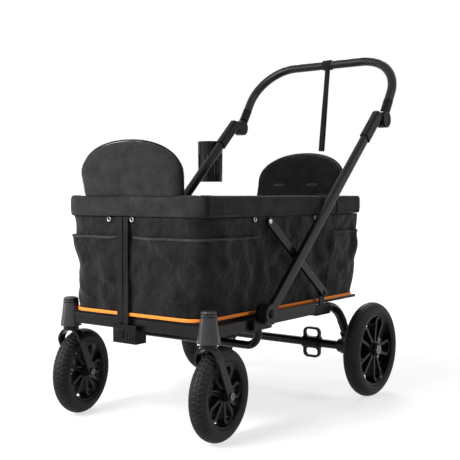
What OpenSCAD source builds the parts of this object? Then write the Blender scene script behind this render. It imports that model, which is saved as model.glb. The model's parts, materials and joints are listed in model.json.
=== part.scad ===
// Stroller wagon for two seated children: folding lower frame on two swivel casters
// and two large rear wheels, fabric tub under a padded rim, push and pull handle.
// Millimetres. Forward is -Y, up is +Z, the floor is z = 0. Distances called "back"
// run rearward from the caster swivel axis.

/* [Wheels] */
// Distance from the caster swivel axis back to the rear axle
wheel_base = 733; // [680:1:800]
// How far a caster's swivel axis lies inside the rim's outer face
caster_in = 12; // [8:1:14]
// How far the middle of a rear tyre lies outside the casters' axes
rear_wheel_out = 72; // [68:1:84]
// Diameter of a front wheel
front_wheel_d = 244; // [236:1:248]
// Width of a front tyre
front_tyre_w = 50; // [44:1:54]
// Diameter of a rear wheel
rear_wheel_d = 295; // [285:1:305]
// Width of a rear tyre
rear_tyre_w = 54; // [46:1:58]
// How far the front axle trails behind the swivel axis
caster_trail = 50; // [42:1:54]
// Heading of the left caster, in degrees
left_heading = 5; // [-20:1:20]
// Heading of the right caster, in degrees
right_heading = 12; // [-20:1:20]
// Height of a tyre above its rim
tyre_depth = 34; // [28:1:36]
// Number of spoke pairs in each wheel
spoke_pairs = 5; // [4:1:7]

/* [Lower frame] */
// Height of the underside of the lower frame tubes
frame_z = 273; // [268:1:282]
// Height of a lower frame tube
tube_h = 29; // [26:1:34]
// Width of a lower frame tube
tube_w = 22; // [16:1:24]
// Distance back to the fold hinge
hinge_back = 215; // [190:1:240]
// Height of the fold hinge
hinge_z = 314; // [308:1:322]
// Distance from the strut's lower pivot back to the rear axle
bracket_to_axle = 198; // [180:1:215]
// Height of the strut's lower pivot
bracket_z = 340; // [334:1:350]
// Height of the top of a caster tower
tower_top_z = 341; // [332:1:344]
// Radius of a caster tower at its foot
tower_foot_r = 30; // [26:1:32]
// Radius of a caster tower at its top
tower_top_r = 20; // [18:1:24]
// Radius of a rear leg tube
leg_r = 14; // [11:1:16]
// Bend radius of a rear leg
leg_bend_r = 110; // [80:1:130]
// Lowest point of the hoop under the frame
hoop_z = 212; // [195:1:214]

/* [Tub and rim] */
// Distance from a seat cushion's side out to the rim's outer face
seat_side_room = 62; // [60:1:66]
// Half length of the padded rim
rim_half_l = 424; // [412:1:434]
// How far the rim's front end stands ahead of the caster axis
rim_front = 24; // [20:1:30]
// Height of the rim's underside
rim_z = 575; // [570:1:585]
// Height of the rim band
rim_h = 56; // [50:1:60]
// Thickness of the rim band
rim_t = 34; // [28:1:36]
// Corner radius of the rim
rim_corner_r = 70; // [60:1:90]
// How far the tub's sides slope in at the bottom
tub_slope = 22; // [18:1:26]
// How far the tub's ends slope in at the bottom
tub_end_slope = 10; // [8:1:20]
// How far the tub's foot lies ahead of its top
foot_ahead = 7; // [0:1:8]
// Thickness of the tub's cloth wall
cloth_t = 4; // [3:0.5:5]
// Height of the coloured piping round the tub's foot
piping_h = 9; // [7:0.5:10]

/* [Seats] */
// Width of a seat cushion
seat_w = 400; // [360:1:406]
// Depth of a seat cushion
seat_depth = 270; // [230:1:290]
// Height of a seat cushion
seat_h = 72; // [60:1:80]
// Distance from the rim's end in to a seat cushion
seat_in = 54; // [48:1:80]
// Half width of the front seat back
front_back_half_w = 182; // [165:1:190]
// Half width of the rear seat back
rear_back_half_w = 172; // [160:1:185]
// Height of the front seat back above its hinge
front_back_h = 150; // [125:1:165]
// Height of the rear seat back above its hinge
rear_back_h = 160; // [125:1:170]
// Thickness of a seat back
back_t = 40; // [34:1:42]
// Lean of the front seat back, in degrees
front_back_lean = 9; // [6:0.5:14]
// Lean of the rear seat back, in degrees
rear_back_lean = 19; // [10:0.5:20]

/* [Handle] */
// Slope of the handle arms, in degrees
arm_slope = 42.8; // [38:0.1:50]
// Distance up the arm to the middle of the tilt hub
arm_l = 870; // [820:1:900]
// How far the tilt hub sits below the arm's middle line
hub_drop = 34; // [30:1:38]
// Gap between the rim and a handle arm
arm_gap = 15; // [14.5:0.5:20]
// Thickness of an arm across the wagon
arm_t = 20; // [16:1:22]
// Width of an arm seen from the side
arm_w = 30; // [24:1:32]
// Slope of the upper handle, in degrees
bar_slope = 58; // [50:1:65]
// Distance from the tilt hub up to the push bar
bar_l = 260; // [245:1:290]
// Corner radius of the push bar
bar_corner_r = 150; // [110:1:155]
// Radius of the push bar tube
bar_r = 11; // [9:0.5:12]
// Radius of the push bar's grip
grip_r = 15; // [13.5:0.5:17]
// Inner radius of the cup holder at its mouth
cup_r = 41; // [36:1:43]
// Height of the cup holder
cup_h = 144; // [128:1:156]

/* [Hidden] */
$fn = 48;

// Fits and overruns shared by every piece
run_gap = 0.05;
seat_gap = 0.3;
overrun = 1;

// Distance back from the caster axis, turned into the frame's own Y
function at(back) = back - wheel_base / 2;

// Frame
frame_top_z = frame_z + tube_h;
rim_half_w = seat_w / 2 + seat_side_room;
frame_half_w = rim_half_w - caster_in;
tube_wall = 2;
tube_in_x = frame_half_w - tube_w / 2;
tube_out_x = frame_half_w + tube_w / 2;
rear_tube_drop = 6;
rear_tube_h = 34;
hoop_shoe = 4;
tower_over_wheel = 18;
tower_foot_z = front_wheel_d + tower_over_wheel;
stem_r = 6;
stem_cap = 9;
stem_top_z = tower_top_z - stem_cap;
bracket_len = 82;
bracket_front_share = 0.63;
bracket_front = hinge_back - bracket_len * bracket_front_share;
bracket_rear = bracket_front + bracket_len;
plate_step = 1;
plate_x = tube_out_x + plate_step;
plate_t = 13;
boss_r = 28;
hinge_pin_r = 8;
pin_head_r = 12;
pin_head_t = 3;
ear_r = 14;
ear_len = 80;
ear_front_share = 0.39;
bracket_back = wheel_base - bracket_to_axle;
ear_front = bracket_back - ear_len * ear_front_share;
ear_plate_t = 5;
ear_head_t = 2.5;
leg_start_up = 18;
ear_rear = ear_front + ear_len;
strut_pin_r = 5;
strut_t = 9;
strut_w = 24;
strut_gap = 1.5;
strut_x = plate_x + strut_gap;
strut_top_back = 243;
strut_top_drop = 14;
strut_top_z = rim_z - strut_top_drop;
hoop_r = 11;
hoop_bend_r = 36;
board_t = 8;
board_side_gap = 3;
board_front = -8;
board_rear_in = 10;
board_top_z = frame_top_z + board_t;

// Rear axle
axle_z = rear_wheel_d / 2;
axle_r = 8;
axle_tube_r = 14;
rear_wheel_x = frame_half_w + rear_wheel_out;
rear_hub_half = 30;
rear_hub_out = 24;
rear_hub_r = 20;
hub_cap_t = 6;
housing_gap = 2;
housing_out_x = rear_wheel_x - rear_hub_half - housing_gap;
housing_l = 80;
housing_in_x = housing_out_x - housing_l;
housing_in_r = 21;
housing_out_r = 44;
pin_ring_r = 32;
brake_pin_r = 3.5;
brake_hole_r = 4.6;
brake_holes = 12;
brake_pin_l = 22;
flange_t = 9;
flange_set = 1;
flange_r = 42;
pedal_x = 108;
pedal_w = 62;
pedal_reach = 50;
pedal_wire_r = 7;
pedal_hub_r = 20;
pedal_t = 12;
pedal_round = 18;
pedal_window_h = 24;
pedal_window_up = pedal_reach - pedal_wire_r - pedal_window_h / 2;

// Casters
front_wheel_z = front_wheel_d / 2;
front_axle_r = 5;
front_hub_half = 27;
front_hub_r = 16;
barrel_t = 8;
barrel_share = 0.76;
spoke_w = 9;
spoke_t = 30;
window_out_share = 0.15;
window_in_share = 0.05;
window_set_share = 0.5;
waist_share = 0.96;
front_spoke_turn = 20;
rear_spoke_turn = 14;
fork_gap = 5;
fork_t = 7;
fork_w = 26;
fork_in = front_tyre_w / 2 + fork_gap;
arch_drop = 26;
arch_z = front_wheel_d - arch_drop;
crown_r = 22;
crown_lap = 1;
bolt_head_r = 9;
bolt_head_t = 4;
leg_end_r = 14;

// Rim, tub and straps
rim_round = 13;
rail_r = 10;
rail_gap = 0.2;
tub_gap = 1.5;
tub_foot_z = board_top_z + seat_gap;
tub_top_z = rim_z - tub_gap;
tub_in = 6;
tub_corner_in = 8;
tub_half_w = rim_half_w - tub_in;
tub_half_l = rim_half_l - tub_in;
tub_back = rim_half_l - rim_front;
board_rear = tub_back + tub_half_l - tub_end_slope - foot_ahead - board_rear_in;
tub_corner_r = rim_corner_r - tub_corner_in;
piping_out = 3;
strap_w = 20;
strap_t = 2.5;
strap_space = 24;
strap_x = -34;
strap_set = 4;
strap_y = at(tub_back - tub_half_l - strap_set - strap_t);
buckle_x = -55;
buckle_w = 84;
buckle_drop = 35;
buckle_lap = 14;
strap_narrow = 4;
buckle_wing_t = 4;
buckle_wing_h = 20;
buckle_wing_w = 26;
ring_r = 7;
ring_wire_r = 1.6;
ring_in = 3.5;
ring_side_backs = [190, 500];
ring_front_xs = [-76, 8];
upright_t = 8;
upright_w = 18;
upright_gap = 0.5;
upright_x = rim_half_w - rim_t - upright_t - upright_gap;
upright_pivot_up = 22;
upright_z = board_top_z + upright_pivot_up;
upright_in = 86;
upright_pin_r = 4;
upright_top_z = rim_z + rim_h / 2;
upright_foot_w = 20;
foot_t = 6;
post_t = 8;
post_gap = 0.5;

// Seats
cushion_gap = 0.5;
back_hinge_in = 4;
back_hinge_up = 4;
back_hinge_z = rim_z + rim_h + back_hinge_up;
knuckle_r = 6;
front_back_low = 0.5;
rear_back_low = 5;
back_pin_r = 3;
back_hinge_l = 40;
back_hinge_x = 120;
lug_set = 1;
lug_t = 10;
lug_h = 22;
stem_h = 10;
post_half = 3.4;
post_end_r = 5;
back_low_share = 0.96;
back_bend_share = 0.4;
back_arch_power = 0.94;
back_edge = 20;
loft_end_share = 0.97;
loft_steps = 8;
side_steps = 5;
arch_steps = 18;
outline_steps = 10;
corner_steps = 8;
cushion_corner_power = 0.36;
cushion_draw_share = 0.03;
// Inset, as a share of half the depth, and height of each ring of a cushion
cushion_rings_shares = [[0.04, 0], [0.01, 0.14], [0, 0.34], [0.02, 0.58], [0.07, 0.76], [0.16, 0.87],
    [0.32, 0.94], [0.55, 0.98], [0.8, 1]];

// Handle
arm_x = rim_half_w + arm_gap;
arm_out_x = arm_x + arm_t;
arm_mid_x = arm_x + arm_t / 2;
arm_round = 7;
sleeve_start = 26;
sleeve_cap = 6;
sleeve_l = 112;
sleeve_w = 36;
sleeve_t = 26;
hub_r = 27;
hub_split = 0.3;
button_well = 8;
hub_half_t = 12;
hub_in_x = arm_mid_x - hub_half_t;
hub_pin_r = 7;
neck_w = 24;
yoke_l = 78;
yoke_r = 16;
yoke_past_hub = 4;
yoke_start = hub_r + yoke_past_hub;
button_r = 18;
button_t = 4;
button_travel = 3;
collar_w = 34;
collar_t = 3;
collar_r = grip_r + collar_t;
wrist_drop_share = 1.115;
wrist_drop = bar_l * wrist_drop_share;
wrist_depth = 11;
wrist_lean = 4.7;
wrist_w = 20;
wrist_t = 2;
wrist_set = 1;
cup_wall = 4;
cup_taper = 1;
cup_base_t = 4;
cup_relief = 0.6;
cup_relief_over = 2;
cup_slots = 8;
cup_slot_w = 12;
cup_slot_low = 30;
cup_slot_high = 100;
clamp_below_hub = 201.8;
cup_past_clamp = 66.7;
clamp_drop = 57;
clamp_along = arm_l - clamp_below_hub;
clamp_back = hinge_back + clamp_along * cos(arm_slope);
clamp_z = hinge_z + clamp_along * sin(arm_slope);
cup_top_z = clamp_z + clamp_drop;
cup_back = clamp_back + cup_past_clamp;
clamp_w = 30;
clamp_h = 23;
clamp_t = 8;

leg_start = [at(ear_rear), frame_z + leg_start_up];
leg_bend_mid = leg_start - [0, leg_bend_r];
leg_reach = [at(wheel_base), axle_z] - leg_bend_mid;
leg_turn = atan2(leg_reach[1], leg_reach[0]) + acos(leg_bend_r / norm(leg_reach));
leg_tangent = leg_bend_mid + leg_bend_r * [cos(leg_turn), sin(leg_turn)];
leg_run = norm([at(wheel_base), axle_z] - leg_tangent);
leg_weld_l = 4;
leg_weld_t = 0.8;
socket_floor = 26;
socket_l = 58;
socket_wall = 4;

hub_back = hinge_back + arm_l * cos(arm_slope) + hub_drop * sin(arm_slope);
hub_z = hinge_z + arm_l * sin(arm_slope) - hub_drop * cos(arm_slope);
hinge_point = [at(hinge_back), hinge_z];
hub_point = [at(hub_back), hub_z];
axle_point = [at(wheel_base), axle_z];
strut_low = [at(bracket_back), bracket_z];
strut_high = [at(strut_top_back), strut_top_z];
bar_point = [at(hub_back + bar_l * cos(bar_slope)), hub_z + bar_l * sin(bar_slope)];
front_axle = [caster_trail, front_wheel_z];
leg_end_turn = atan2(caster_trail, arch_z - front_wheel_z);

// Colours
charcoal = [0.10, 0.10, 0.105];
black = [0.05, 0.05, 0.055];
cloth = [0.08, 0.08, 0.085];
steel = [0.72, 0.73, 0.75];
orange = [1.0, 0.45, 0.05];
rubber = [0.07, 0.07, 0.07];

// A plate in the side plane, from x0 outwards
module side_plate(x0, t) {
    translate([x0, 0, 0]) rotate([90, 0, 90]) linear_extrude(t) children();
}

// A round rod along X through a point of the side plane
module cross_rod(x0, x1, p, r) {
    translate([x0, p[0], p[1]]) rotate([0, 90, 0]) cylinder(h = x1 - x0, r = r);
}

// A flat link with round ends between two points
module link(p, q, r) {
    d = (q - p) / norm(q - p);
    n = [-d[1], d[0]] * r;
    translate(p) circle(r);
    translate(q) circle(r);
    polygon([p + n, q + n, q - n, p - n]);
}

// Puts a piece on the left side as drawn, or on the right side mirrored
module on_side(s) {
    if (s > 0) children();
    else mirror([1, 0, 0]) children();
}

// A square tube along one axis (0 for X, 1 for Y), open at both ends
module square_tube(low, high, axis) {
    inner = [for (k = [0 : 2]) k == axis ? -overrun : tube_wall];
    difference() {
        block(low, high);
        block(low + inner, high - inner);
    }
}

// A box given by two corners
module block(low, high) {
    translate(low) cube(high - low);
}

// A tube along the closed loop of the rim: straight sides and quarter-turn corners
module rim_loop(z) {
    run_w = rim_half_w - rim_corner_r;
    run_l = rim_half_l - rim_corner_r;
    bend = rim_corner_r - rim_t / 2;
    translate([0, at(tub_back), z]) {
        for (s = [-1, 1]) {
            translate([s * (run_w + bend), run_l, 0]) rotate([90, 0, 0])
                linear_extrude(2 * run_l) children();
            translate([-run_w, s * (run_l + bend), 0]) rotate([90, 0, 90])
                linear_extrude(2 * run_w) children();
        }
        for (q = [0 : 3]) {
            sx = (q == 0 || q == 3) ? 1 : -1;
            sy = (q < 2) ? 1 : -1;
            translate([sx * run_w, sy * run_l, 0]) rotate([0, 0, q * 90])
                rotate_extrude(angle = 90) translate([bend, 0]) children();
        }
    }
}

// A rectangle with round corners, its middle at the origin
module round_rect(w, l, r) {
    square([w - 2 * r, l], center = true);
    square([w, l - 2 * r], center = true);
    for (sx = [-1, 1], sy = [-1, 1])
        translate([sx * (w / 2 - r), sy * (l / 2 - r)]) circle(r);
}

// A closed solid through rings of points, capped by a fan at each end
module loft(rings) {
    n = len(rings[0]);
    m = len(rings);
    first = [for (k = [0 : 2]) [for (p = rings[0]) p[k]] * [for (p = rings[0]) 1 / n]];
    last = [for (k = [0 : 2]) [for (p = rings[m - 1]) p[k]] * [for (p = rings[0]) 1 / n]];
    points = concat([for (ring = rings) for (p = ring) p], [first, last]);
    sides = [for (j = [0 : m - 2], i = [0 : n - 1], half = [0, 1])
        let (a = j * n + i, b = j * n + (i + 1) % n)
        half == 0 ? [a, b, b + n] : [a, b + n, a + n]];
    caps = concat([for (i = [0 : n - 1]) [m * n, (i + 1) % n, i]],
        [for (i = [0 : n - 1]) [m * n + 1, (m - 1) * n + i, (m - 1) * n + (i + 1) % n]]);
    polyhedron(points, [for (f = concat(sides, caps)) [f[2], f[1], f[0]]]);
}

// Lower frame
module front_crossbar() {
    color(charcoal) difference() {
        square_tube([-frame_half_w, at(-tube_w / 2), frame_z],
            [frame_half_w, at(tube_w / 2), frame_top_z], 0);
        for (s = [-1, 1]) on_side(s) tower_shape(run_gap);
    }
}

module rear_crossbar() {
    color(charcoal) square_tube([-tube_in_x, at(bracket_back - tube_w / 2), frame_z],
        [tube_in_x, at(bracket_back + tube_w / 2), frame_top_z], 0);
}

module tower_shape(grow) {
    translate([frame_half_w, at(0), tower_foot_z])
        cylinder(h = tower_top_z - tower_foot_z, r1 = tower_foot_r + grow, r2 = tower_top_r + grow);
}

module caster_tower(s) {
    color(charcoal) on_side(s) difference() {
        tower_shape(0);
        translate([frame_half_w, at(0), tower_foot_z - overrun])
            cylinder(h = stem_top_z - tower_foot_z + overrun + seat_gap, r = stem_r + run_gap);
    }
}

module side_tubes() {
    color(charcoal) for (s = [-1, 1]) on_side(s) difference() {
        square_tube([tube_in_x, at(tube_w / 2), frame_z],
            [tube_out_x, at(bracket_front), frame_top_z], 1);
        tower_shape(run_gap);
    }
}

module fold_bracket(s) {
    color(black) on_side(s) {
        block([tube_in_x, at(bracket_front), frame_z - hoop_shoe],
            [plate_x, at(bracket_rear), frame_top_z]);
        side_plate(plate_x, plate_t) {
            translate(hinge_point) circle(boss_r);
            polygon([[at(bracket_front), frame_z], [at(bracket_rear), frame_z],
                [at(bracket_rear), frame_top_z], [at(bracket_front), frame_top_z]]);
        }
        cross_rod(plate_x, arm_out_x + seat_gap, hinge_point, hinge_pin_r);
        cross_rod(arm_out_x + seat_gap, arm_out_x + seat_gap + pin_head_t, hinge_point, pin_head_r);
    }
}

module rear_tubes() {
    low = frame_z + rear_tube_drop;
    color(charcoal) for (s = [-1, 1]) on_side(s)
        square_tube([tube_in_x, at(bracket_rear), low],
            [tube_out_x, at(ear_front), low + rear_tube_h], 1);
}

module rear_bracket(s) {
    color(black) on_side(s) {
        block([tube_in_x, at(ear_front), frame_z], [plate_x, at(ear_rear), frame_top_z]);
        side_plate(plate_x - ear_plate_t, ear_plate_t)
            link([strut_low[0], frame_z + ear_r], strut_low, ear_r);
        cross_rod(plate_x, strut_x + strut_t + seat_gap, strut_low, strut_pin_r);
        cross_rod(strut_x + strut_t + seat_gap, strut_x + strut_t + seat_gap + ear_head_t, strut_low,
            strut_pin_r + ear_head_t);
    }
}

module rear_leg(s) {
    color(charcoal) on_side(s) {
        translate([frame_half_w, leg_bend_mid[0], leg_bend_mid[1]]) rotate([90, 0, 90])
            rotate([0, 0, leg_turn]) rotate_extrude(angle = 90 - leg_turn)
                translate([leg_bend_r, 0]) circle(leg_r);
        along_leg() {
            translate([0, 0, leg_weld_l]) cylinder(h = leg_run - socket_floor - leg_weld_l, r = leg_r);
            translate([0, 0, -leg_weld_l]) cylinder(h = 3 * leg_weld_l, r = leg_r + leg_weld_t);
        }
    }
}

// From the end of a rear leg's bend straight on to the axle
module along_leg() {
    translate([frame_half_w, leg_tangent[0], leg_tangent[1]]) rotate([90, 0, 90])
        rotate([0, 0, leg_turn - 90]) rotate([0, 90, 0]) children();
}

module axle_tube() {
    color(charcoal) difference() {
        cross_rod(-housing_in_x, housing_in_x, axle_point, axle_tube_r);
        cross_rod(-housing_in_x - overrun, housing_in_x + overrun, axle_point, axle_r + seat_gap);
    }
}

module axle_rod() {
    end_x = rear_wheel_x + rear_hub_out + seat_gap;
    color(steel) {
        cross_rod(-end_x, end_x, axle_point, axle_r);
        for (s = [-1, 1]) on_side(s) cross_rod(end_x, end_x + hub_cap_t, axle_point, axle_tube_r);
    }
}

module housing_shape() {
    translate([housing_in_x, axle_point[0], axle_point[1]]) rotate([0, 90, 0])
        cylinder(h = housing_l, r1 = housing_in_r, r2 = housing_out_r);
}

module brake_housing(s) {
    pin_at = axle_point + [pin_ring_r, 0];
    color(black) on_side(s) difference() {
        union() {
            housing_shape();
            along_leg() translate([0, 0, leg_run - socket_l])
                cylinder(h = socket_l, r = leg_r + socket_wall);
        }
        along_leg() cylinder(h = leg_run - socket_floor + run_gap, r = leg_r + run_gap);
        cross_rod(housing_in_x - overrun, housing_out_x + overrun, axle_point, axle_r + seat_gap);
        cross_rod(housing_out_x - brake_pin_l - seat_gap, housing_out_x + overrun, pin_at,
            brake_pin_r + run_gap);
    }
}

module brake_pin(s) {
    color(steel) on_side(s) cross_rod(housing_out_x - brake_pin_l, housing_out_x,
        axle_point + [pin_ring_r, 0], brake_pin_r);
}

module brake_pedal() {
    color(black) translate([pedal_x, axle_point[0], axle_point[1]]) difference() {
        union() {
            rotate([90, 0, 0]) translate([0, 0, -pedal_t / 2]) linear_extrude(pedal_t) difference() {
                round_rect(pedal_w, 2 * pedal_reach, pedal_round);
                for (s = [-1, 1]) translate([0, s * pedal_window_up])
                    round_rect(pedal_w - 2 * pedal_wire_r, pedal_window_h, pedal_round - pedal_wire_r);
            }
            translate([-pedal_w / 2, 0, 0]) rotate([0, 90, 0]) cylinder(h = pedal_w, r = pedal_hub_r);
        }
        translate([-pedal_w, 0, 0]) rotate([0, 90, 0]) cylinder(h = 2 * pedal_w, r = axle_tube_r + run_gap);
    }
}

module under_hoop() {
    low = hoop_z + hoop_r;
    run = frame_half_w - hoop_bend_r;
    color(charcoal) translate([0, at(hinge_back), 0]) {
        translate([-run, 0, low]) rotate([0, 90, 0]) cylinder(h = 2 * run, r = hoop_r);
        for (s = [-1, 1]) on_side(s) {
            translate([run, 0, low + hoop_bend_r]) rotate([90, 0, 0]) rotate([0, 0, -90])
                rotate_extrude(angle = 90) translate([hoop_bend_r, 0]) circle(hoop_r);
            translate([frame_half_w, 0, low + hoop_bend_r])
                cylinder(h = frame_z - hoop_shoe - low - hoop_bend_r, r = hoop_r);
        }
    }
}

// The floor board and, on it, the feet and pins of the rim's inner uprights
module floor_board() {
    half = tube_in_x - board_side_gap;
    color(black) {
        difference() {
            block([-half, at(board_front), frame_top_z], [half, at(board_rear), board_top_z]);
            for (s = [-1, 1]) on_side(s) tower_shape(seat_gap);
        }
        for (e = [-1, 1], s = [-1, 1]) on_side(s) translate([0, upright_y(e), 0]) {
            block([upright_x - foot_t - post_gap, -upright_foot_w / 2, board_top_z],
                [upright_x - post_gap, upright_foot_w / 2, upright_z + upright_foot_w / 2]);
            cross_rod(upright_x - post_gap, upright_x + upright_t, [0, upright_z], upright_pin_r);
        }
    }
}

// Seats: a cushion is a stack of rings that draws in towards its crown
function cushion_ring(inset, z) = [for (k = [0 : 4 * outline_steps - 1])
    let (a = 90 * k / outline_steps, draw = 1 - cushion_draw_share * pow(1 - abs(sin(2 * a)), 2))
    [(seat_w / 2 * draw - inset) * sign(cos(a)) * pow(abs(cos(a)), cushion_corner_power),
        (seat_depth / 2 * draw - inset) * sign(sin(a)) * pow(abs(sin(a)), cushion_corner_power), z]];

module seat_cushion(e) {
    middle = tub_back + e * (rim_half_l - seat_in - seat_depth / 2);
    rings = [for (share = cushion_rings_shares) cushion_ring(share[0] * seat_depth / 2, share[1] * seat_h)];
    color(cloth) translate([0, at(middle), board_top_z + cushion_gap]) loft(rings);
}

// Outline of a seat back, from its lower left corner round to the start
function back_outline(half_w, back_h, back_low) =
    let (low_w = half_w * back_low_share, bend = back_h * back_bend_share)
    concat([for (k = [0 : side_steps - 1]) [low_w * (2 * k / side_steps - 1), back_low]],
        [for (k = [0 : side_steps - 1])
            [low_w + (half_w - low_w) * k / side_steps, back_low + (bend - back_low) * k / side_steps]],
        [for (k = [0 : arch_steps]) let (a = 180 * k / arch_steps)
            [half_w * sign(cos(a)) * pow(abs(cos(a)), back_arch_power),
                bend + (back_h - bend) * pow(abs(sin(a)), back_arch_power)]],
        [for (k = [1 : side_steps - 1])
            [-half_w + (half_w - low_w) * k / side_steps, bend + (back_low - bend) * k / side_steps]]);

// A seat back stands outward of its hinge line and folds in over the seat
module seat_back(e) {
    back_h = e < 0 ? front_back_h : rear_back_h;
    low = e < 0 ? front_back_low : rear_back_low;
    middle = back_h / 2;
    half_w = e < 0 ? front_back_half_w : rear_back_half_w;
    lean = e < 0 ? front_back_lean : rear_back_lean;
    rings = [for (j = [0 : loft_steps])
        let (t = 1 - 2 * j / loft_steps, inset = back_edge * (1 - sqrt(1 - pow(t * loft_end_share, 2))))
        [for (p = back_outline(half_w, back_h, low)) [p[0] * (1 - inset / half_w), (t + e) * back_t / 2,
            middle + (p[1] - middle) * (1 - inset / middle)]]];
    color(cloth) translate([0, back_hinge_y(e), back_hinge_z]) rotate([-e * lean, 0, 0]) {
        loft(rings);
        for (s = [-1, 1]) translate([s * back_hinge_x, 0, 0]) difference() {
            union() {
                cross_rod(-back_hinge_l / 2, back_hinge_l / 2, [0, 0], knuckle_r);
                block([-back_hinge_l / 2, min(e * lug_set, e * lug_t), 0],
                    [back_hinge_l / 2, max(e * lug_set, e * lug_t), lug_h]);
            }
            cross_rod(-back_hinge_l, back_hinge_l, [0, 0], back_pin_r + run_gap);
        }
    }
}

function back_hinge_y(e) = at(tub_back + e * (rim_half_l - rim_t - back_hinge_in));
function upright_y(e) = at(tub_back + e * (rim_half_l - upright_in));

// Places one post of a seat back's hinge, on the rim's front (-1) or rear (1) end
module at_posts(e) {
    for (s = [-1, 1], t = [-1, 1])
        translate([s * back_hinge_x + t * (back_hinge_l / 2 + post_gap + post_t / 2), back_hinge_y(e), 0])
            children();
}

// The stem of a post, from the rail in through the rim's pad; grow is the room round it
module post_stem(e, grow, start) {
    reach = e * (back_hinge_in + rim_t / 2 - start);
    near = -e * (post_half + grow);
    z = rim_z + rim_h / 2;
    block([-post_t / 2 - grow, min(reach, near), z - stem_h / 2 - grow],
        [post_t / 2 + grow, max(reach, near), z + stem_h / 2 + grow]);
}

// Posts on the rim's rail, with the pins that the seat backs turn on
module seat_hinges() {
    rail_z = rim_z + rim_h / 2;
    color(black) for (e = [-1, 1]) {
        at_posts(e) {
            post_stem(e, 0, rail_r + run_gap);
            block([-post_t / 2, -post_half, rail_z - stem_h / 2], [post_t / 2, post_half, back_hinge_z]);
            cross_rod(-post_t / 2, post_t / 2, [0, back_hinge_z], post_end_r);
        }
        for (s = [-1, 1]) translate([s * back_hinge_x, 0, 0])
            cross_rod(-back_hinge_l / 2 - post_gap, back_hinge_l / 2 + post_gap,
                [back_hinge_y(e), back_hinge_z], back_pin_r);
    }
}

module uprights(e) {
    color(charcoal) for (s = [-1, 1]) on_side(s) translate([0, upright_y(e), 0])
        difference() {
            side_plate(upright_x, upright_t)
                link([0, upright_z], [0, upright_top_z - upright_w / 2], upright_w / 2);
            cross_rod(upright_x - overrun, upright_x + upright_t + overrun, [0, upright_z],
                upright_pin_r + run_gap);
        }
}

// Soft body
function round_outline(w, l, r, z, ahead) = [for (q = [0 : 3], k = [0 : corner_steps])
    let (a = 90 * (q + k / corner_steps), sx = (q == 0 || q == 3) ? 1 : -1, sy = q < 2 ? 1 : -1)
    [sx * (w - r) + r * cos(a), at(tub_back - ahead) + sy * (l - r) + r * sin(a), z]];

// A closed band of cloth through rings of points, the last joined to the first
module band(rings) {
    n = len(rings[0]);
    m = len(rings);
    polyhedron([for (ring = rings) for (p = ring) p],
        [for (j = [0 : m - 1], i = [0 : n - 1], half = [0, 1])
            let (a = j * n, b = ((j + 1) % m) * n, k = (i + 1) % n)
            half == 0 ? [a + i, b + k, a + k] : [a + i, b + i, b + k]]);
}

module fabric_tub() {
    w = tub_half_w - tub_slope;
    l = tub_half_l - tub_end_slope;
    inner_r = tub_corner_r - cloth_t;
    color(cloth) band([
        round_outline(w, l, tub_corner_r, tub_foot_z, foot_ahead),
        round_outline(tub_half_w, tub_half_l, tub_corner_r, tub_top_z, 0),
        round_outline(tub_half_w - cloth_t, tub_half_l - cloth_t, inner_r, tub_top_z, 0),
        round_outline(w - cloth_t, l - cloth_t, inner_r, tub_foot_z, foot_ahead)]);
}

module piping() {
    left_share = 1 - piping_h / (tub_top_z - tub_foot_z);
    w = tub_half_w - tub_slope * left_share + run_gap;
    l = tub_half_l - tub_end_slope * left_share + foot_ahead * (1 - left_share) + run_gap;
    color(orange) translate([0, at(tub_back - foot_ahead), tub_foot_z]) linear_extrude(piping_h)
        difference() {
            round_rect(2 * (w + piping_out), 2 * (l + piping_out), tub_corner_r + piping_out);
            round_rect(2 * w, 2 * l, tub_corner_r);
        }
}

module rim_rail() {
    color(charcoal) rim_loop(rim_z + rim_h / 2) difference() {
        circle(rail_r);
        circle(rail_r - tube_wall);
    }
}

module rim_pad() {
    color(cloth) difference() {
        rim_loop(rim_z + rim_h / 2) difference() {
            round_rect(rim_t, rim_h, rim_round);
            circle(rail_r + rail_gap);
        }
        for (e = [-1, 1]) at_posts(e) post_stem(e, rail_gap, 0);
    }
}

module ring() {
    rotate([0, 90, 0]) rotate_extrude() translate([ring_r - ring_wire_r, 0]) circle(ring_wire_r);
}

module rim_rings() {
    z = rim_z - ring_r - seat_gap;
    color(steel) {
        for (s = [-1, 1], b = ring_side_backs) translate([s * (rim_half_w - ring_in), at(b), z]) ring();
        for (x = ring_front_xs) translate([x, at(tub_back - rim_half_l + ring_in), z])
            rotate([0, 0, 90]) ring();
    }
}

module front_strap() {
    color(cloth) for (k = [0, 1])
        block([strap_x + k * strap_space - strap_w / 2, strap_y, frame_z + buckle_lap],
            [strap_x + k * strap_space + strap_w / 2 - k * strap_narrow, strap_y + strap_t,
                rim_z - seat_gap]);
}

module strap_buckle() {
    face = strap_y - seat_gap;
    back = at(-tube_w / 2 - seat_gap);
    low = frame_z - buckle_drop;
    end_x = buckle_x + buckle_w;
    color(black) {
        block([buckle_x, face - buckle_wing_t, low], [end_x, back, frame_z + buckle_lap - seat_gap]);
        block([buckle_x, back, low], [end_x, at(tube_w / 2), frame_z - seat_gap]);
        block([buckle_x, face - buckle_wing_t, frame_z],
            [buckle_x + buckle_wing_w, face, frame_z + buckle_wing_h]);
    }
}

// Crossed strut of each side
module strut(s) {
    color(charcoal) on_side(s) difference() {
        side_plate(strut_x, strut_t) link(strut_low, strut_high, strut_w / 2);
        cross_rod(strut_x - overrun, strut_x + strut_t + overrun, strut_low, strut_pin_r + run_gap);
    }
}

// Handle
module along_arm(s) {
    on_side(s) translate([0, hinge_point[0], hinge_point[1]]) rotate([arm_slope, 0, 0]) children();
}

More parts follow.
